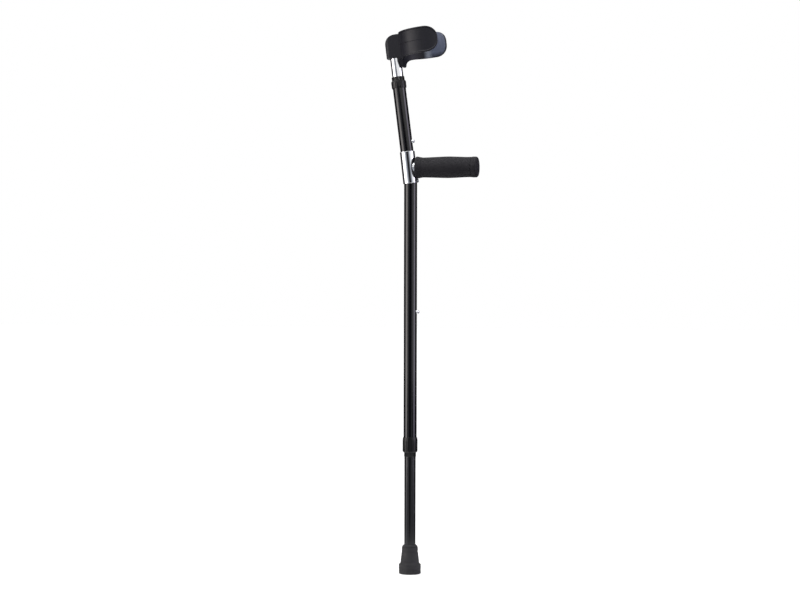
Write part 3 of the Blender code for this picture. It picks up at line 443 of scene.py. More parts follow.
def pins(places, radius, depth, steps=32):
    """A cutter of round pins, each standing on its own matrix."""
    bm = bmesh.new()
    for place in places:
        middle = place @ Matrix.Translation((0, 0, depth / 2))
        bmesh.ops.create_cone(
            bm, cap_ends=True, segments=steps, radius1=radius, radius2=radius, depth=depth, matrix=middle
        )
    return from_bmesh("pins", bm)


def shape(piece, *cutters, operation="DIFFERENCE"):
    """Cuts or joins the piece with other objects, which are then removed."""
    for cutter in cutters:
        step = piece.modifiers.new("Cut", "BOOLEAN")
        step.operation = operation
        step.solver = "EXACT"
        step.object = cutter
        settle(piece)
        bpy.data.objects.remove(cutter, do_unlink=True)
    return piece


def settle(piece):
    """Applies the piece's modifiers."""
    bpy.context.view_layer.update()
    graph = bpy.context.evaluated_depsgraph_get()
    mesh = bpy.data.meshes.new_from_object(piece.evaluated_get(graph))
    piece.modifiers.clear()
    piece.data = mesh
    return piece


def ease(piece, width, segments=2, angle=40):
    """Rounds the piece's sharp edges."""
    step = piece.modifiers.new("Ease", "BEVEL")
    step.width = width
    step.segments = segments
    step.limit_method = "ANGLE"
    step.angle_limit = math.radians(angle)
    step.use_clamp_overlap = True
    return settle(piece)


def rings(piece, base, heights):
    """Runs a ring of edges round a tube at each height up the base, so that eased ends and holes don't bend
    the shading of its long faces."""
    bm = bmesh.new()
    bm.from_mesh(piece.data)
    up = base.to_3x3() @ Vector((0, 0, 1))
    for height in heights:
        point = base @ Vector((0, 0, height))
        bmesh.ops.bisect_plane(bm, geom=whole(bm), dist=0.000005, plane_co=point, plane_no=up)
    bm.to_mesh(piece.data)
    bm.free()
    return piece


def frame_flats(piece, area, width):
    """Insets the large flat faces a little, so that they shade flat up to their eased edges."""
    bm = bmesh.new()
    bm.from_mesh(piece.data)
    flats = [face for face in bm.faces if face.calc_area() > area]
    bmesh.ops.inset_individual(bm, faces=flats, thickness=width, depth=0, use_even_offset=True)
    bm.to_mesh(piece.data)
    bm.free()
    return piece


def fit(piece, body, node, finish):
    """Gives a finished piece its material and shading, and has it stand for its CAD node. A piece that bends
    between two bodies is given none here."""
    piece.data.name = piece.name
    piece.data.materials.clear()
    piece.data.materials.append(finish)
    piece.data.shade_smooth()
    piece.data.set_sharp_from_angle(angle=math.radians(35))
    if body:
        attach(piece, body)
    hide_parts(node)
    return piece


# Tubes.


def hole_places(base, heights, start):
    """A place for each hole through a tube's front wall, pointing out along the base's X."""
    return [base @ Matrix.Translation((start, 0, height)) @ ALONG_X for height in heights]


def beside(heights, radius):
    """The heights a little below and above each hole."""
    clear = radius + RING_GAP
    return [height + side for height in heights for side in (-clear, clear)]


def draw_on(bm, edges, way):
    """Draws a ring of edges on by a vector, and gives the new ring's vertices and edges."""
    grown = bmesh.ops.extrude_edge_only(bm, edges=edges)["geom"]
    bmesh.ops.translate(bm, verts=only(grown, BMVert), vec=way)
    return only(grown, BMVert) + only(grown, BMEdge)


def bent_pipe(radius, low, run):
    """A ring drawn up from a low end, spun round the bend and drawn on along the leaning run."""
    bm = bmesh.new()
    start = BEND_HEIGHT - BEND_CUT
    bmesh.ops.create_circle(bm, segments=72, radius=radius, matrix=Matrix.Translation((0, 0, low)))
    ring = draw_on(bm, bm.edges[:], (0, 0, start - low))
    pivot = (-BEND_RADIUS, 0, start)
    turned = bmesh.ops.spin(
        bm, geom=ring, cent=pivot, axis=(0, -1, 0), angle=LEAN, steps=10, use_duplicate=False
    )
    last = only(turned["geom_last"], BMEdge)
    draw_on(bm, last, (-run * math.sin(LEAN), 0, run * math.cos(LEAN)))
    return bm


def main_tube():
    """The bent tube, with seven holes for the leg's button and four for the forearm's."""
    tube = from_bmesh("main_tube_shell", bent_pipe(MAIN_RADIUS, MAIN_LOW, UPPER_RUN - BEND_CUT))
    wall = tube.modifiers.new("Wall", "SOLIDIFY")
    wall.thickness = MAIN_RADIUS - MAIN_BORE
    wall.offset = -1
    wall.use_even_offset = True
    settle(tube)
    leg_holes = [LEG_BUTTON - HOLE_PITCH * i for i in range(7)]
    arm_holes = [ARM_BUTTON + HOLE_PITCH * i for i in range(4)]
    rows = (
        (LOWER, leg_holes, MAIN_LOW + RING_GAP),
        (UP, arm_holes, UPPER_RUN - RING_GAP),
    )
    for base, heights, end in rows:
        rings(tube, base, beside(heights, HOLE_RADIUS) + [end])
        shape(tube, pins(hole_places(base, heights, 0.004), HOLE_RADIUS, 0.0085))
    ease(tube, TUBE_EDGE)
    return fit(tube, "frame", "main_tube", GLOSS_TUBE)


def plain_tube(name, length, place, holes):
    """A length of the thinner tube with eased ends and round holes in its front wall."""
    profile = [(TUBE_BORE, 0), (TUBE_BORE, length), (TUBE_RADIUS, length), (TUBE_RADIUS, 0)]
    tube = from_bmesh(name, lathe(profile, 72), place)
    rings(tube, place, [RING_GAP, length - RING_GAP])
    for radius, heights in holes:
        rings(tube, place, beside(heights, radius))
        shape(tube, pins(hole_places(place, heights, 0.003), radius, 0.009))
    return ease(tube, TUBE_EDGE)


def leg_tube():
    """The tube that slides in the main tube and stands in the foot."""
    place = Matrix.Translation((0, 0, LEG_TUBE_LOW))
    holes = [(HOLE_RADIUS, [LEG_BUTTON - LEG_TUBE_LOW])]
    tube = plain_tube("leg_tube_shell", LEG_TUBE_LENGTH, place, holes)
    return fit(tube, "leg", "leg_tube", SATIN_TUBE)


def forearm_tube():
    """The tube that slides in the top of the main tube and carries the cuff."""
    place = UP @ Matrix.Translation((0, 0, ARM_TUBE_LOW))
    screws = [LOW_SCREW - ARM_TUBE_LOW, HIGH_SCREW - ARM_TUBE_LOW]
    holes = [(HOLE_RADIUS, [ARM_BUTTON - ARM_TUBE_LOW]), (SCREW_HOLE, screws)]
    tube = plain_tube("forearm_tube_shell", ARM_TUBE_TOP - ARM_TUBE_LOW, place, holes)
    return fit(tube, "forearm", "forearm_tube", CHROME)


# Snap buttons.


def snap_button(name, base, height, body, node):
    """A pressed steel button: domed end, straight side and a shoulder inside the tube."""
    seat = 0.006025
    proud = 0.0044
    length = MAIN_RADIUS + proud - seat
    radius = 0.003175
    flange = 0.0040
    dome = 0.0026
    steps = 12
    profile = [(0, length)]
    for i in range(1, steps + 1):
        a = math.radians(90 / steps * i)
        profile.append((radius * math.sin(a), length - dome * (1 - math.cos(a))))
    profile += [(radius, 0.0012), (0.0034, 0.0010), (0.0038, 0.0010)]
    profile += [(flange, 0.0008), (flange, 0), (0, 0)]
    place = base @ Matrix.Translation((seat, 0, height)) @ ALONG_X
    piece = from_bmesh(name, lathe(profile, 48), place)
    return fit(piece, body, node, CHROME)


# Lock nuts and collets.


def lock_nut(name, place, height, mouth, taper, body, node):
    """A moulded nut with rounded flutes, coned at its narrow end and round-edged at its wide end."""
    outer = 0.01265
    narrow = outer - taper * 0.14
    bore = 0.0114
    lip = 0.0029
    edge = 0.0018
    profile = [(bore, height), (narrow - 0.0002, height), (narrow, height - 0.0002)]
    profile += [(outer, height - taper), (outer, height - taper - 0.0008), (outer, 0.0050), (outer, 0.0042)]
    profile += corner((outer - edge, 0.0024), edge, 10, -75, 6)
    profile += [(mouth + 0.0003, 0), (mouth, 0.0003), (mouth, lip), (bore, lip)]
    nut = from_bmesh(name, lathe(profile, 96), place)
    count = 16
    flutes = []
    for i in range(count):
        turn = Matrix.Rotation(2 * math.pi * (i + 0.5) / count, 4, "Z")
        flutes.append(place @ turn @ Matrix.Translation((outer + 0.0010, 0, -0.002)))
    shape(nut, pins(flutes, 0.0015, height + 0.004, steps=24))
    return fit(nut, body, node, NYLON)


def collet(name, place, neck, radius, groove, body, node):
    """The split ring in the nut: a coned flange inside and eight fingers round the tube, each slit sunk in a
    wider groove."""
    low = neck + 0.0035
    total = low + 0.0034
    bore = 0.009725
    flange = 0.0111
    profile = [(bore, total), (flange, total), (flange, total - 0.0012), (radius, low)]
    profile += [(radius, 0.0005), (radius - 0.0003, 0), (bore, 0)]
    ring = from_bmesh(name, lathe(profile, 96), place)
    depth = low - 0.0008
    fingers = 8
    for width, reach in ((groove, 0.0013), (0.0004, 0.006)):
        bm = bmesh.new()
        for i in range(fingers):
            turn = Matrix.Rotation(2 * math.pi * (i + 0.5) / fingers, 4, "Z")
            at = place @ turn @ Matrix.Translation((radius, 0, depth / 2 - 0.001))
            size = Matrix.Diagonal((reach, width, depth + 0.002, 1))
            bmesh.ops.create_cube(bm, size=1.0, matrix=at @ size)
        shape(ring, from_bmesh("slots", bm))
    return fit(ring, body, node, NYLON)


def clamp(tube, base, end, way, ring, nut):
    """The collet and the lock nut at one end of the main tube, the upper ones upside down. The ring's sizes
    are its neck, radius and groove, and the nut's are its height, mouth and taper."""
    turn = Matrix.Rotation(math.pi if way > 0 else 0, 4, "X")
    neck = ring[0]
    far = end + way * NUT_REACH + way * neck
    place = base @ Matrix.Translation((0, 0, far)) @ turn
    collet(f"{tube}_collet_ring_piece", place, *ring, f"{tube}_collet_ring", f"{tube}_collet")
    place = base @ Matrix.Translation((0, 0, far - way * neck)) @ turn
    lock_nut(f"{tube}_nut_ring", place, *nut, f"{tube}_nut", f"{tube}_lock_nut")


# Foot.


def ferrule():
    """The rubber foot: a sloped lip with a groove, a neck, a waist, a base with two grooves, and two rings of
    tread."""
    bore = TUBE_RADIUS + 0.0003
    bottom = 0.013
    top = 0.0495
    base = 0.0187
    lip = [(0, bottom), (bore, bottom), (bore, top - 0.0006)]
    lip += corner((bore + 0.0006, top - 0.0006), 0.0006, 180, 80, 4)
    lip += [(0.01285, 0.0472), (0.0132, 0.0470), (0.0133, 0.0466), (0.0128, 0.0463), (0.0126, 0.0459)]
    lip += [(0.0129, 0.0455), (0.0135, 0.0452), (0.0136, 0.0448)]
    neck = [(0.0137, 0.0398), (0.0137, 0.0392)] + corner((0.0134, 0.0389), 0.0003, 0, -80, 3)
    neck += corner((0.0143, 0.03775), 0.0009, 145, 215, 6) + [(0.0139, 0.0368), (0.01397, 0.0362)]
    waist = [(0.01563, 0.0220), (0.0157, 0.0210)] + corner((0.0205, 0.0208), 0.0048, 186, 232, 6)
    side = [(0.0183, 0.0168), (base, 0.0164), (base, 0.0156), (base, 0.0096)]
    for middle in (0.0078, 0.0044):
        side += [(base, middle + 0.0009), (base - 0.0005, middle + 0.0005)]
        side += [(base - 0.0005, middle - 0.0005), (base, middle - 0.0009)]
    side += corner((base - 0.0022, 0.0022), 0.0022, 0, -90, 6)
    tread = []
    for outer in (0.0143, 0.0103):
        tread += [(outer, 0), (outer - 0.0003, 0.0012), (outer - 0.0018, 0.0012), (outer - 0.0021, 0)]
    profile = lip + neck + waist + side + tread + [(0, 0)]
    foot = from_bmesh("ferrule_moulding", lathe(profile, 96))
    return fit(foot, "leg", "ferrule", RUBBER)


# Bracket, rivet, grip and cap.


def handle_bracket():
    """The chromed sleeve over the bend, with the stub welded on and a bead of weld round its root."""
    edge = 0.0003
    top = 0.0541
    outer = 0.0126
    outline = [(0, top), (outer - edge, top), (outer, top - edge), (outer, edge), (outer - edge, 0), (0, 0)]
    sleeve = from_bmesh("bracket_sleeve", lathe(outline, 96), SLEEVE)
    root = 0.0130
    end = 0.1040
    radius = 0.00795
    stub = [(0, end), (radius - edge, end), (radius, end - edge), (radius, root)]
    stub += corner((0.0104, 0.0136), 0.0020, 220, 265, 4) + [(0.0100, 0.004), (0, 0.004)]
    shape(sleeve, from_bmesh("stub", lathe(stub, 64), GRIP), operation="UNION")
    bore = bent_pipe(MAIN_RADIUS + 0.0003, 0.64, 0.08)
    bmesh.ops.holes_fill(bore, edges=bore.edges[:], sides=100)
    shape(sleeve, from_bmesh("sleeve_bore", bore))
    shape(sleeve, pins([GRIP @ Matrix.Translation((0, 0, root))], 0.00645, 0.12, steps=48))
    shape(sleeve, pins(hole_places(SLEEVE, [RIVET_HEIGHT], 0.004), 0.0019, 0.012))
    return fit(sleeve, "frame", "handle_bracket", CHROME)


def bracket_rivet():
    """A blind rivet: a low domed head with the broken pin in its middle, and the set tail inside."""
    head = 0.0129
    radius = 0.0031
    profile = [(0, head + 0.0010), (0.0009, head + 0.0010), (0.0010, head + 0.0008), (0.0012, head + 0.0008)]
    profile += [(0.0014, head + 0.0013)]
    for a in (0.7, 0.95, 1.2, 1.4, 1.57):
        profile.append((radius * math.sin(a), head + 0.0003 + 0.0011 * math.cos(a)))
    profile += [(radius, head), (0.0016, head), (0.0016, 0.0090), (0.0025, 0.0082)]
    profile += [(0.0020, 0.0062), (0, 0.0056)]
    place = SLEEVE @ Matrix.Translation((0, 0, RIVET_HEIGHT)) @ ALONG_X
    rivet = from_bmesh("rivet_head", lathe(profile, 40), place)
    return fit(rivet, "frame", "bracket_rivet", ZINC)


def grip():
    """The waisted grip, cut to sit round the sleeve. Its stations are shares of its length and radii."""
    length = 0.0961
    bore = 0.00825
    stations = [
        (0.023, 0.0187),
        (0.099, 0.0173),
        (0.146, 0.0169),
        (0.312, 0.0174),
        (0.551, 0.0182),
        (0.728, 0.0178),
        (0.895, 0.0171),
        (0.988, 0.0171),
    ]
    outer = [(radius, along * length) for along, radius in smooth(stations, 6)][::-1]
    end = outer[0][0]
    mouth = 0.01035
    profile = [(bore, length), (end - 0.0004, length), (end - 0.0001, length - 0.0003)] + outer
    profile += corner((0.0167, 0.0020), 0.0020, 0, -90, 6)
    profile += [(mouth, 0), (mouth, 0.0040), (bore, 0.0060)]
    body = from_bmesh("grip_sleeve", lathe(profile, 96), GRIP @ Matrix.Translation((0, 0, 0.0096)))
    shape(body, pins([SLEEVE @ Matrix.Translation((0, 0, -0.01))], 0.0129, 0.08, steps=96))
    ease(body, 0.0003)
    return fit(body, "frame", "grip", GRIP_SKIN)


def grip_end_cap():
    """The grip's rounded end, with its plug in the stub."""
    radius = 0.0175
    edge = 0.0032
    top = 0.0104
    plug = 0.00615
    profile = [(0, top), (radius * 0.6, top - 0.0001)]
    profile += corner((radius - edge, top - 0.0034), edge, 85, 0, 8)
    profile += [(radius + 0.0001, 0.0030), (radius, 0.0012), (radius - 0.0002, 0.0002), (radius - 0.0004, 0)]
    profile += [(plug, 0), (plug, -0.0110), (0.0053, -0.0120), (0, -0.0120)]
    cap = from_bmesh("grip_cap", lathe(profile, 96), GRIP @ Matrix.Translation((0, 0, 0.1060)))
    return fit(cap, "frame", "grip_end_cap", GRIP_SKIN)


# Cuff.


def cuff_outline():
    """Half of the flat band, from its lower middle to its upper middle."""
    end = BAND_MIDDLE * CUFF_WRAP
    tip = CUFF_LOW - 0.0148
    nose = 0.0045
    wide = 0.0220
    tall = 0.0185
    steps = 20
    half = corner((0.0055, tip + nose), nose, -90, -10, 8)
    leave = half[-1]
    for i in range(1, steps + 1):
        f = i / steps
        weights = ((1 - f) ** 2, 2 * f * (1 - f), f**2)
        points = zip(leave, (0.0160, CUFF_LOW - 0.0010), (0.0380, CUFF_LOW))
        half.append(tuple(sum(w * value for w, value in zip(weights, axis)) for axis in points))
    half += corner((end - wide, CUFF_LOW + tall), wide, -90, 0, 16, tall / wide)
    half += corner((end - wide, CUFF_HIGH - tall), wide, 0, 90, 16, tall / wide)
    return half


def cuff_band():
    """The band with its raised rim, shaped flat by steps of inset and then bent round the forearm."""
    half = cuff_outline()
    start = 0.0005
    thick = 0.00275
    bm = bmesh.new()
    verts = [bm.verts.new((along, up, start)) for along, up in half]
    verts += [bm.verts.new((-along, up, start)) for along, up in reversed(half)]
    bmesh.ops.remove_doubles(bm, verts=bm.verts, dist=0.00001)
    bm.verts.ensure_lookup_table()
    verts = bm.verts[:]
    edges = [bm.edges.new((verts[i - 1], verts[i])) for i in range(len(verts))]
    sheet = bmesh.ops.contextual_create(bm, geom=edges)["faces"]
    bmesh.ops.recalc_face_normals(bm, faces=sheet)
    if sheet[0].normal.z > 0:
        bmesh.ops.reverse_faces(bm, faces=sheet)
    grown = bmesh.ops.extrude_face_region(bm, geom=sheet, use_keep_orig=True)["geom"]
    top = only(grown, BMFace)
    bmesh.ops.translate(bm, verts=only(grown, BMVert), vec=(0, 0, thick))
    bmesh.ops.recalc_face_normals(bm, faces=bm.faces)
    for width, rise in ((0.00015, 0.0003), (0.00035, 0.0002), (0.0008, 0)):
        bm.normal_update()
        bmesh.ops.inset_region(bm, faces=sheet, thickness=width, depth=rise, use_even_offset=True)
    steps = ((0.00015, 0.0003), (0.00035, 0.0002), (0.0003, 0), (0.0010, 0), (0.0003, 0), (0.0003, -0.0002))
    steps += ((0.0003, -0.0004), (0.0003, -0.0002), (0.0005, 0))
    for width, rise in steps:
        bm.normal_update()
        bmesh.ops.inset_region(bm, faces=top, thickness=width, depth=rise, use_even_offset=True)
    columns = 110
    for i in range(1, columns):
        along = BAND_MIDDLE * CUFF_WRAP * (2 * i / columns - 1)
        bmesh.ops.bisect_plane(bm, geom=whole(bm), dist=0.00002, plane_co=(along, 0, 0), plane_no=(1, 0, 0))
    for vert in bm.verts:
        along, up, out = vert.co
        angle = along / BAND_MIDDLE
        radius = CUFF_RADIUS + out
        vert.co = (CUFF_CENTRE - radius * math.cos(angle), radius * math.sin(angle), up)
    return from_bmesh("cuff_moulding", bm, UP)


def prism(corners, low, high, plane):
    """A flat outline of (x, y, corner radius) made solid from low to high across its plane."""
    near = 1e-6
    bm = bmesh.new()
    verts = [bm.verts.new((x, y, low)) for x, y, _ in corners]
    face = bmesh.ops.contextual_create(bm, geom=verts)["faces"]
    grown = bmesh.ops.extrude_face_region(bm, geom=face, use_keep_orig=True)["geom"]
    bmesh.ops.translate(bm, verts=only(grown, BMVert), vec=(0, 0, high - low))
    bmesh.ops.recalc_face_normals(bm, faces=bm.faces)
    for x, y, radius in corners:
        if radius > 0:
            standing = []
            for edge in bm.edges:
                a, b = edge.verts
                if all(abs(v.co.x - x) < near and abs(v.co.y - y) < near for v in (a, b)):
                    standing.append(edge)
            bmesh.ops.bevel(
                bm,
                geom=standing,
                offset=radius,
                offset_type="OFFSET",
                affect="EDGES",
                segments=14,
                profile=0.5,
                material=-1,
            )
    return from_bmesh("prism", bm, UP @ plane)


def arm_groove(height, first, last):
    """A cutter bent round the cuff's axis that sinks a shallow groove along the outside of an arm."""
    bm = bmesh.new()
    at = Matrix.Translation((-CUFF_RADIUS - 0.0030, 0, height)) @ Matrix.Rotation(math.pi / 2, 4, "X")
    bmesh.ops.create_circle(bm, cap_ends=True, segments=12, radius=0.00055, matrix=at)
    turn = Matrix.Rotation(math.radians(first), 3, "Z")
    bmesh.ops.rotate(bm, verts=bm.verts, cent=(0, 0, 0), matrix=turn)
    sweep = math.radians(last - first)
    bmesh.ops.spin(bm, geom=whole(bm), cent=(0, 0, 0), axis=(0, 0, 1), angle=sweep, steps=60)
    return from_bmesh("arm_groove", bm, UP @ Matrix.Translation((CUFF_CENTRE, 0, 0)))


def socket_block(tip):
    """The block behind the band, on a saddle that narrows down to the tip, hollowed for the forearm."""
    low = CUFF_LOW + 0.0024
    top = CUFF_HIGH - 0.0020
    front = SCREW_FACE + 0.0030
    back = -SOCKET_RADIUS - 0.0041
    wide = SOCKET_RADIUS + 0.0030
    over = 0.002
    from_side = Matrix(((1, 0, 0, 0), (0, 0, -1, 0), (0, 1, 0, 0), (0, 0, 0, 1)))
    from_front = Matrix(((0, 0, 1, 0), (1, 0, 0, 0), (0, 1, 0, 0), (0, 0, 0, 1)))
    plan = [(back, -wide, 0.007), (front, -wide, 0), (front, wide, 0), (back, wide, 0.007)]
    made = prism(plan, low, top, Matrix.Identity(4))
    slope = [(back - over, low - over, 0), (front + over, low - over, 0), (front + over, top, 0)]
    slope += [(back, top, 0.0185), (back, low + 0.02, 0), (back - over, low + 0.02, 0)]
    shape(made, prism(slope, -wide - over, wide + over, from_side), operation="INTERSECT")
    frame_flats(ease(made, 0.0012, 4, 30), 0.00005, 0.0006)
    half = 0.0126
    foot = 0.0082
    saddle = [(-half, low + 0.004, 0), (-half, low - 0.0028, 0), (-foot, tip, 0.0015)]
    saddle += [(foot, tip, 0.0015), (half, low - 0.0028, 0), (half, low + 0.004, 0)]
    saddle = prism(saddle, 0.004, front + over, from_front)
    slope = [(0.0076, low + 0.006, 0), (0.0076, low, 0), (0.0094, tip - 0.001, 0), (front, tip - 0.001, 0)]
    slope += [(front, low + 0.006, 0)]
    shape(saddle, prism(slope, -wide, wide, from_side), operation="INTERSECT")
    frame_flats(ease(saddle, 0.0005, 3, 30), 0.00002, 0.0003)
    shape(made, saddle, operation="UNION")
    arm = UP @ Matrix.Translation((CUFF_CENTRE, 0, tip - 0.004))
    return shape(made, pins([arm], BAND_MIDDLE, 0.07, steps=128))


def cuff():
    """Band and socket block as one moulding, bored for the tube and countersunk for two screws."""
    band = cuff_band()
    middle = (CUFF_LOW + CUFF_HIGH) / 2
    shape(band, arm_groove(middle, 21, 92), arm_groove(middle, -21, -92))
    tip = CUFF_LOW - 0.0138
    shape(band, socket_block(tip), operation="UNION")
    socket = UP @ Matrix.Translation((0, 0, tip - 0.004))
    shape(band, pins([socket], SOCKET_RADIUS, 0.2428 - tip + 0.004, steps=72))
    face = SCREW_FACE
    sink = [(0, face + 0.001), (0.0040, face + 0.001), (0.0040, face - 0.0008)]
    sink += [(SCREW_HOLE, face - 0.0028), (SCREW_HOLE, 0), (0, 0)]
    for height in (LOW_SCREW, HIGH_SCREW):
        place = UP @ Matrix.Translation((0, 0, height)) @ ALONG_X
        shape(band, from_bmesh("sink", lathe(sink, 40), place))
    return fit(band, "forearm", "cuff", CUFF_PLASTIC)


def cuff_screw(name, height, node):
    """A countersunk screw with a cross recess and a grooved shank."""
    face = SCREW_FACE
    crest = 0.00175
    root = 0.00150
    pitch = 0.0008
    profile = [(0, face - 0.0003), (0.0035, face - 0.0003), (0.0037, face - 0.0005), (crest, face - 0.0025)]
    for i in range(14):
        z = face - 0.0030 - i * pitch
        profile += [(crest, z), (root, z - pitch / 2)]
    profile += [(0.0010, -0.0030), (0, -0.0038)]
    place = UP @ Matrix.Translation((0, 0, height)) @ ALONG_X
    screw = from_bmesh(name, lathe(profile, 40), place)
    size = Matrix.Diagonal((0.0042, 0.0008, 0.0026, 1))
    for turn in (0, math.pi / 2):
        bm = bmesh.new()
        at = place @ Matrix.Translation((0, 0, face - 0.0003)) @ Matrix.Rotation(turn, 4, "Z")
        bmesh.ops.create_cube(bm, size=1.0, matrix=at @ size)
        shape(screw, from_bmesh("cross", bm))
    return fit(screw, "forearm", node, ZINC)


def inner_piece(node, name, body, finish):
    """A piece sealed inside, which keeps its CAD shape with its doubles merged."""
    bm = bmesh.new()
    bm.from_mesh(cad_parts[node].data)
    return fit(from_bmesh(name, bm), body, node, finish)


def leaf_spring(node, name):
    """The V-shaped strip behind a button, with no body of its own. One arm runs from the V's bend to the flat
    that carries the button, and the other lies on the far wall."""
    spring = inner_piece(node, name, None, ZINC)
    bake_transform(spring)
    return spring


main_tube()
leg_tube()
forearm_tube()
snap_button("leg_button_cap", LOWER, LEG_BUTTON, "leg_button", "leg_snap_button")
snap_button("forearm_button_cap", UP, ARM_BUTTON, "forearm_button", "forearm_snap_button")
clamp("leg", LOWER, MAIN_LOW, -1, ring=(0.0075, 0.010025, 0.0005), nut=(0.0253, 0.010625, 0.0050))
clamp("forearm", UP, UPPER_RUN, 1, ring=(0.0064, 0.010850, 0.0026), nut=(0.0132, 0.010925, 0.0029))
ferrule()
handle_bracket()
bracket_rivet()
grip()
grip_end_cap()
cuff()
cuff_screw("cuff_screw_low", LOW_SCREW, "cuff_screw_lower")
cuff_screw("cuff_screw_high", HIGH_SCREW, "cuff_screw_upper")
inner_piece("ferrule_washer", "foot_washer", "leg", ZINC)
inner_piece("leg_glide", "leg_tube_glide", "leg", GLIDE)
inner_piece("forearm_glide", "forearm_tube_glide", "forearm", GLIDE)
inner_piece("forearm_tube_plug", "forearm_tube_stopper", "forearm", GLIDE)
leaf_spring("leg_button_spring", "leg_leaf_spring")
leaf_spring("forearm_button_spring", "forearm_leaf_spring")


# Studio: floor, lights and camera.


def white_where_seen(tree, level):
    """A level for the rays that see a surface, straight, in gloss or through glass, and none for the light
    that it sheds."""
    path = add(tree, "ShaderNodeLightPath")
    seen = path.outputs["Is Camera Ray"]
    for name in ("Is Glossy Ray", "Is Transmission Ray"):
        either = {0: seen, 1: path.outputs[name]}
        seen = add(tree, "ShaderNodeMath", either, operation="MAXIMUM").outputs[0]
    return add(tree, "ShaderNodeMath", {0: seen, 1: level}, operation="MULTIPLY").outputs[0]


def studio_floor():
    """A wide pale floor that runs to white and keeps the soft shadow round the foot."""
    made, tree = material("pale_floor")
    shader = {
        "Base Color": linear("DCDCDC"),
        "Roughness": 0.9,
        "Emission Color": linear("FFFFFF"),
        "Emission Strength": white_where_seen(tree, 0.7),
    }
    shader = add(tree, "ShaderNodeBsdfPrincipled", shader)
    add(tree, "ShaderNodeOutputMaterial", {"Surface": shader.outputs[0]})
    bm = bmesh.new()
    bmesh.ops.create_grid(bm, x_segments=1, y_segments=1, size=20)
    floor = from_bmesh("studio_floor", bm)
    if floor.data.polygons[0].normal.z < 0:
        floor.data.flip_normals()
    floor.data.materials.append(made)


def studio_world():
    """White where it is seen or mirrored, and a soft even level as light."""
    world = bpy.data.worlds.new("studio")
    bpy.context.scene.world = world
    world.use_nodes = True
    tree = world.node_tree
    tree.nodes.clear()
    soft = 0.42
    rest = white_where_seen(tree, 1 - soft)
    level = add(tree, "ShaderNodeMath", {0: rest, 1: soft}, operation="ADD")
    back = add(tree, "ShaderNodeBackground", {"Color": (1, 1, 1, 1), "Strength": level.outputs[0]})
    add(tree, "ShaderNodeOutputWorld", {"Surface": back.outputs[0]})


# The camera: its turn, roll and distance, the photograph's size in pixels, a pixel's size in metres at the
# object, the horizon's row, the column of the lower tube's axis and the row of the floor under it.
CAMERA_TURN = math.radians(13.3)
CAMERA_ROLL = math.radians(0.13)
RIGHT = Vector((math.cos(CAMERA_TURN), math.sin(CAMERA_TURN), 0))
AHEAD = Vector((-math.sin(CAMERA_TURN), math.cos(CAMERA_TURN), 0))
DISTANCE = 3.6
WIDTH = 800
HEIGHT = 600
PIXEL = 0.001695
HORIZON = 285.5
AXIS_COLUMN = 409.93
FLOOR_ROW = 573.6


def towards(angle):
    """The level direction that is this many degrees round from the camera, to the right of its line."""
    angle = math.radians(angle)
    return RIGHT * math.sin(angle) - AHEAD * math.cos(angle)


def softbox(name, angle, distance, height, aim, size, colour, power):
    """An area light at an angle from the camera, which stands at one height and is aimed at another."""
    light = bpy.data.lights.new(name, "AREA")
    light.shape = "RECTANGLE"
    light.size, light.size_y = size
    light.color = linear(colour)[:3]
    light.energy = power
    lamp = bpy.data.objects.new(name, light)
    bpy.context.scene.collection.objects.link(lamp)
    lamp.location = towards(angle) * distance + Vector((0, 0, height))
    lamp.rotation_euler = (Vector((0, 0, aim)) - lamp.location).to_track_quat("-Z", "Y").to_euler()
    lamp.visible_camera = False


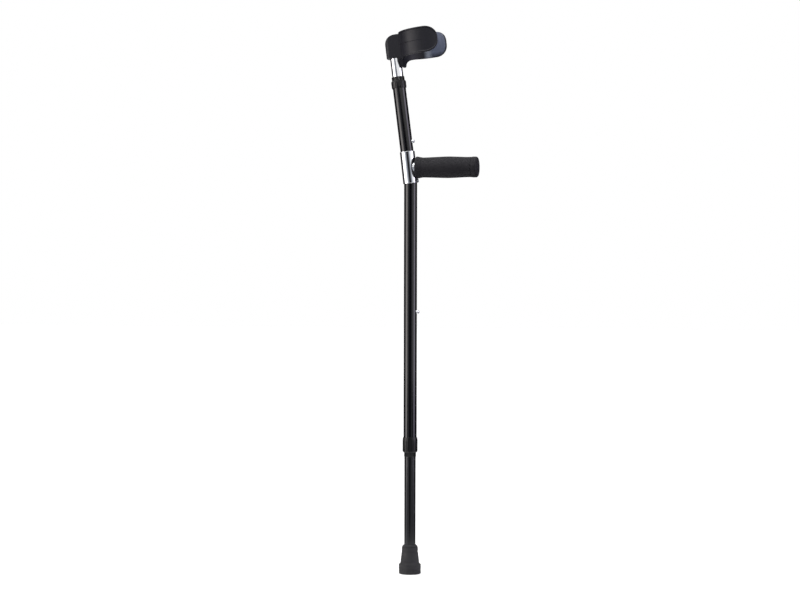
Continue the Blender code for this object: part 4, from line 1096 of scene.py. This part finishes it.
def flag(name, first, last, top, low, middle, edge, tint):
    """A curved card round the object from one angle to another, up to its top, with a foot that runs in just
    over the floor. It only shows in gloss, and its middle and its edges have their own levels."""
    bm = bmesh.new()
    start = towards(first)
    toe = 0.35
    reach = 5.0
    section = ((toe, low), (reach, low), (reach, top))
    line = [bm.verts.new((start.x * out, start.y * out, z)) for out, z in section]
    edges = [bm.edges.new(pair) for pair in zip(line, line[1:])]
    sweep = math.radians(last - first)
    bmesh.ops.spin(
        bm, geom=line + edges, cent=(0, 0, 0), axis=(0, 0, 1), angle=sweep, steps=24, use_duplicate=False
    )
    card = from_bmesh(name, bm)
    made, tree = material(name + "_card")
    place = add(tree, "ShaderNodeTexCoord").outputs["Object"]
    level = {0: place, 1: (1, 1, 0)}
    level = add(tree, "ShaderNodeVectorMath", level, operation="MULTIPLY")
    level = add(tree, "ShaderNodeVectorMath", {0: level.outputs[0]}, operation="NORMALIZE")
    facing = {0: level.outputs[0], 1: towards((first + last) / 2)}
    facing = add(tree, "ShaderNodeVectorMath", facing, operation="DOT_PRODUCT")
    glow = {
        "Value": facing.outputs["Value"],
        "From Min": math.cos(sweep / 2),
        "From Max": 1.0,
        "To Min": edge,
        "To Max": middle,
    }
    glow = add(tree, "ShaderNodeMapRange", glow)
    glow = add(tree, "ShaderNodeEmission", {"Color": linear(tint), "Strength": glow.outputs[0]})
    add(tree, "ShaderNodeOutputMaterial", {"Surface": glow.outputs[0]})
    card.data.materials.append(made)
    card.visible_camera = False
    card.visible_diffuse = False
    card.visible_shadow = False
    card.visible_transmission = False


def studio_camera():
    """The photograph's camera: level but for its roll, with its horizon set by a shift."""
    camera = bpy.data.cameras.new("camera")
    camera.sensor_width = 36.0
    camera.lens = camera.sensor_width * DISTANCE / (WIDTH * PIXEL)
    camera.shift_y = -(HEIGHT / 2 - HORIZON) / WIDTH
    camera.clip_end = 100
    view = bpy.data.objects.new("camera", camera)
    bpy.context.scene.collection.objects.link(view)
    offset = (AXIS_COLUMN + 0.5 - WIDTH / 2) * PIXEL
    eye = -AHEAD * DISTANCE - RIGHT * offset
    eye.z = (FLOOR_ROW - HORIZON) * PIXEL
    view.matrix_world = (
        Matrix.Translation(eye)
        @ Matrix.Rotation(CAMERA_TURN, 4, "Z")
        @ Matrix.Rotation(math.pi / 2, 4, "X")
        @ Matrix.Rotation(CAMERA_ROLL, 4, "Z")
    )
    bpy.context.scene.camera = view


studio_floor()
studio_world()
softbox("key_left", -72, 2.6, height=1.05, aim=1.05, size=(1.5, 2.1), colour="FFF7F4", power=33)
softbox("fill_right", 73, 2.8, height=1.0, aim=1.0, size=(1.2, 2.2), colour="EBE2FF", power=22)
softbox("top_soft", -52, 0.9, height=3.0, aim=0.5, size=(1.6, 1.6), colour="FFFFFF", power=28)
flag("front_flag", -42, 34, top=1.56, low=0.004, middle=0.004, edge=0.95, tint="E2E6F0")
flag("low_flag", -68, 66, top=0.06, low=0.002, middle=0.07, edge=0.26, tint="E2E6F0")
flag("low_left_flag", -98, -68, top=0.06, low=0.002, middle=0.95, edge=0.95, tint="E2E6F0")
flag("low_right_flag", 66, 98, top=0.06, low=0.002, middle=0.25, edge=0.25, tint="E2E6F0")
flag("left_flag", -176, -98, top=3.0, low=0.002, middle=0.05, edge=0.05, tint="F4EEF0")
flag("right_flag", 98, 176, top=3.0, low=0.002, middle=0.05, edge=0.05, tint="E4DEF8")
studio_camera()
bpy.context.scene.view_settings.view_transform = "Standard"
